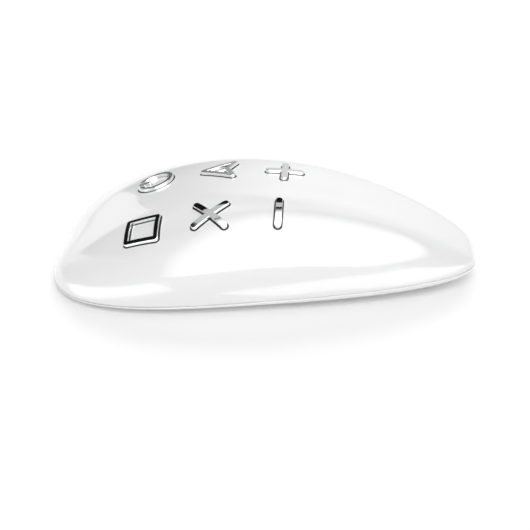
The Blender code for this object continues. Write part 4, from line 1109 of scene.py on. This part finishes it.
def make_floor():
    """Wide plain floor."""
    floor = flat_object("floor", rectangle(2 * FLOOR_HALF, 2 * FLOOR_HALF))
    finish = Finish("floor", (0.93, 0.93, 0.93), (0.925, 0.925, 0.925), 0.85, 0.9)
    finish.shader.inputs["Specular IOR Level"].default_value = 0.0
    finish.shader.inputs["Emission Strength"].default_value = FLOOR_GLOW
    floor.data.materials.append(finish.material)


def make_light(name, place, size, power):
    """Soft light towards the middle, which the glossy surfaces don't mirror."""
    light = bpy.data.lights.new(name, "AREA")
    light.shape = "RECTANGLE"
    light.size, light.size_y = size
    light.energy = power
    lamp = add_object(name, light)
    lamp.location = place
    lamp.rotation_euler = Vector(place).to_track_quat("Z", "Y").to_euler()
    lamp.visible_glossy = False


def make_card(name, corners, strength, place=None, fades=()):
    """Flat card that only glossy surfaces mirror.

    Its strength is multiplied by smooth ramps: axis, start, end and value at the start.
    """
    card = flat_object(name, corners)
    card.matrix_world = place or Matrix.Translation((0, 0, CARD_LIFT))
    for ray in ("camera", "diffuse", "transmission", "volume_scatter", "shadow"):
        setattr(card, f"visible_{ray}", False)
    material = bpy.data.materials.new(name)
    material.use_nodes = True
    tree = material.node_tree
    tree.nodes.clear()
    where = add(tree, "SeparateXYZ", {"Vector": add(tree, "TexCoord").outputs["Object"]}).outputs
    for axis, start, end, least in fades:
        strength = math_node(tree, "MULTIPLY", strength, ramp(tree, where[axis], start, end, least))
    glow = add(tree, "Emission", {"Strength": strength})
    add(tree, "OutputMaterial", {"Surface": glow.outputs["Emission"]})
    card.data.materials.append(material)


def facing_card(direction, distance):
    """Place of a card that faces the object's middle; its X stays as level as it can."""
    normal = Vector(direction).normalized()
    level = (Vector((1, 0, 0)) - normal * normal.x).normalized()
    place = Matrix((level, normal.cross(level), normal)).transposed().to_4x4()
    place.translation = Vector(CARD_CENTRE) + normal * distance
    return place


def make_studio():
    """Even surround, two soft lights and the panels and flags that the gloss mirrors."""
    world = bpy.data.worlds.new("studio")
    world.use_nodes = True
    background = world.node_tree.nodes["Background"]
    background.inputs["Color"].default_value = (1, 1, 1, 1)
    background.inputs["Strength"].default_value = WORLD_STRENGTH
    bpy.context.scene.world = world
    bpy.context.scene.view_settings.view_transform = "Standard"
    make_light("front_light", (0.15, -1.0, 1.25), size=(1.2, 1.0), power=8.0)
    make_light("back_light", (0.0, 0.9, 0.65), size=(1.2, 0.5), power=6.8)

    reach = PANEL_DISTANCE
    panel = [(x * reach, y * reach) for x, y in ((-0.76, -1.8), (0.7, -1.8), (0.7, 1.7), (-0.76, 1.7))]
    make_card("long_softbox", panel, 3.6, facing_card((0.35, -0.45, 0.82), reach),
              [("X", -0.76 * reach, -0.71 * reach, 0.0), ("X", -0.71 * reach, -0.4 * reach, 0.45),
               ("X", 0.68 * reach, 0.5 * reach, 0.0), ("Y", 1.6 * reach, 0.3 * reach, 0.0)])
    make_card("near_strip_right", [(-0.010, -0.050), (0.007, -0.042), (0.028, -0.040), (0.071, -0.025),
                                   (0.4, 0.05), (0.4, -0.4), (0.06, -0.066), (0.035, -0.058),
                                   (0.006, -0.052)], 2.8)
    make_card("near_strip_left", [(-0.061, -0.033), (-0.086, -0.026), (-0.5, -0.1), (-0.11, -0.5),
                                  (-0.025, -0.063), (-0.046, -0.048)], 2.8)
    behind = facing_card((0, 1, 0.36), BACK_DISTANCE)
    make_card("back_left_grey", [(-1.6, -0.42), (-0.62, -0.42), (-0.62, 0.42), (-1.6, 0.42)], 0.9, behind)
    make_card("back_grey", [(-0.62, -0.42), (1.6, -0.42), (1.6, 0.42), (-0.62, 0.42)], 0.84, behind,
              [("X", -0.5, 0.1, 0.2)])
    make_card("back_floor_grey", [(-1.2, 0.06), (1.2, 0.06), (1.2, 1.1), (-1.2, 1.1)], 1.0)
    make_card("black_flag", [(-0.24, -0.4), (0.075, -0.4), (0.085, -0.27), (0.07, -0.2), (0.085, -0.1),
                             (0.112, -0.01), (0.16, 0.02), (0.3, -0.01), (0.42, -0.01), (0.42, 0.08),
                             (0.28, 0.14), (0.1, 0.27), (-0.24, 0.27)], 0.01,
              facing_card((-0.471, 0.552, 0.688), FLAG_DISTANCE))


make_camera()
finish_nodes()
make_upper_shell()
make_lower_shell()
make_base_pad()
make_caps()
make_islands()
make_painted_shade_rings()
make_floor()
make_studio()
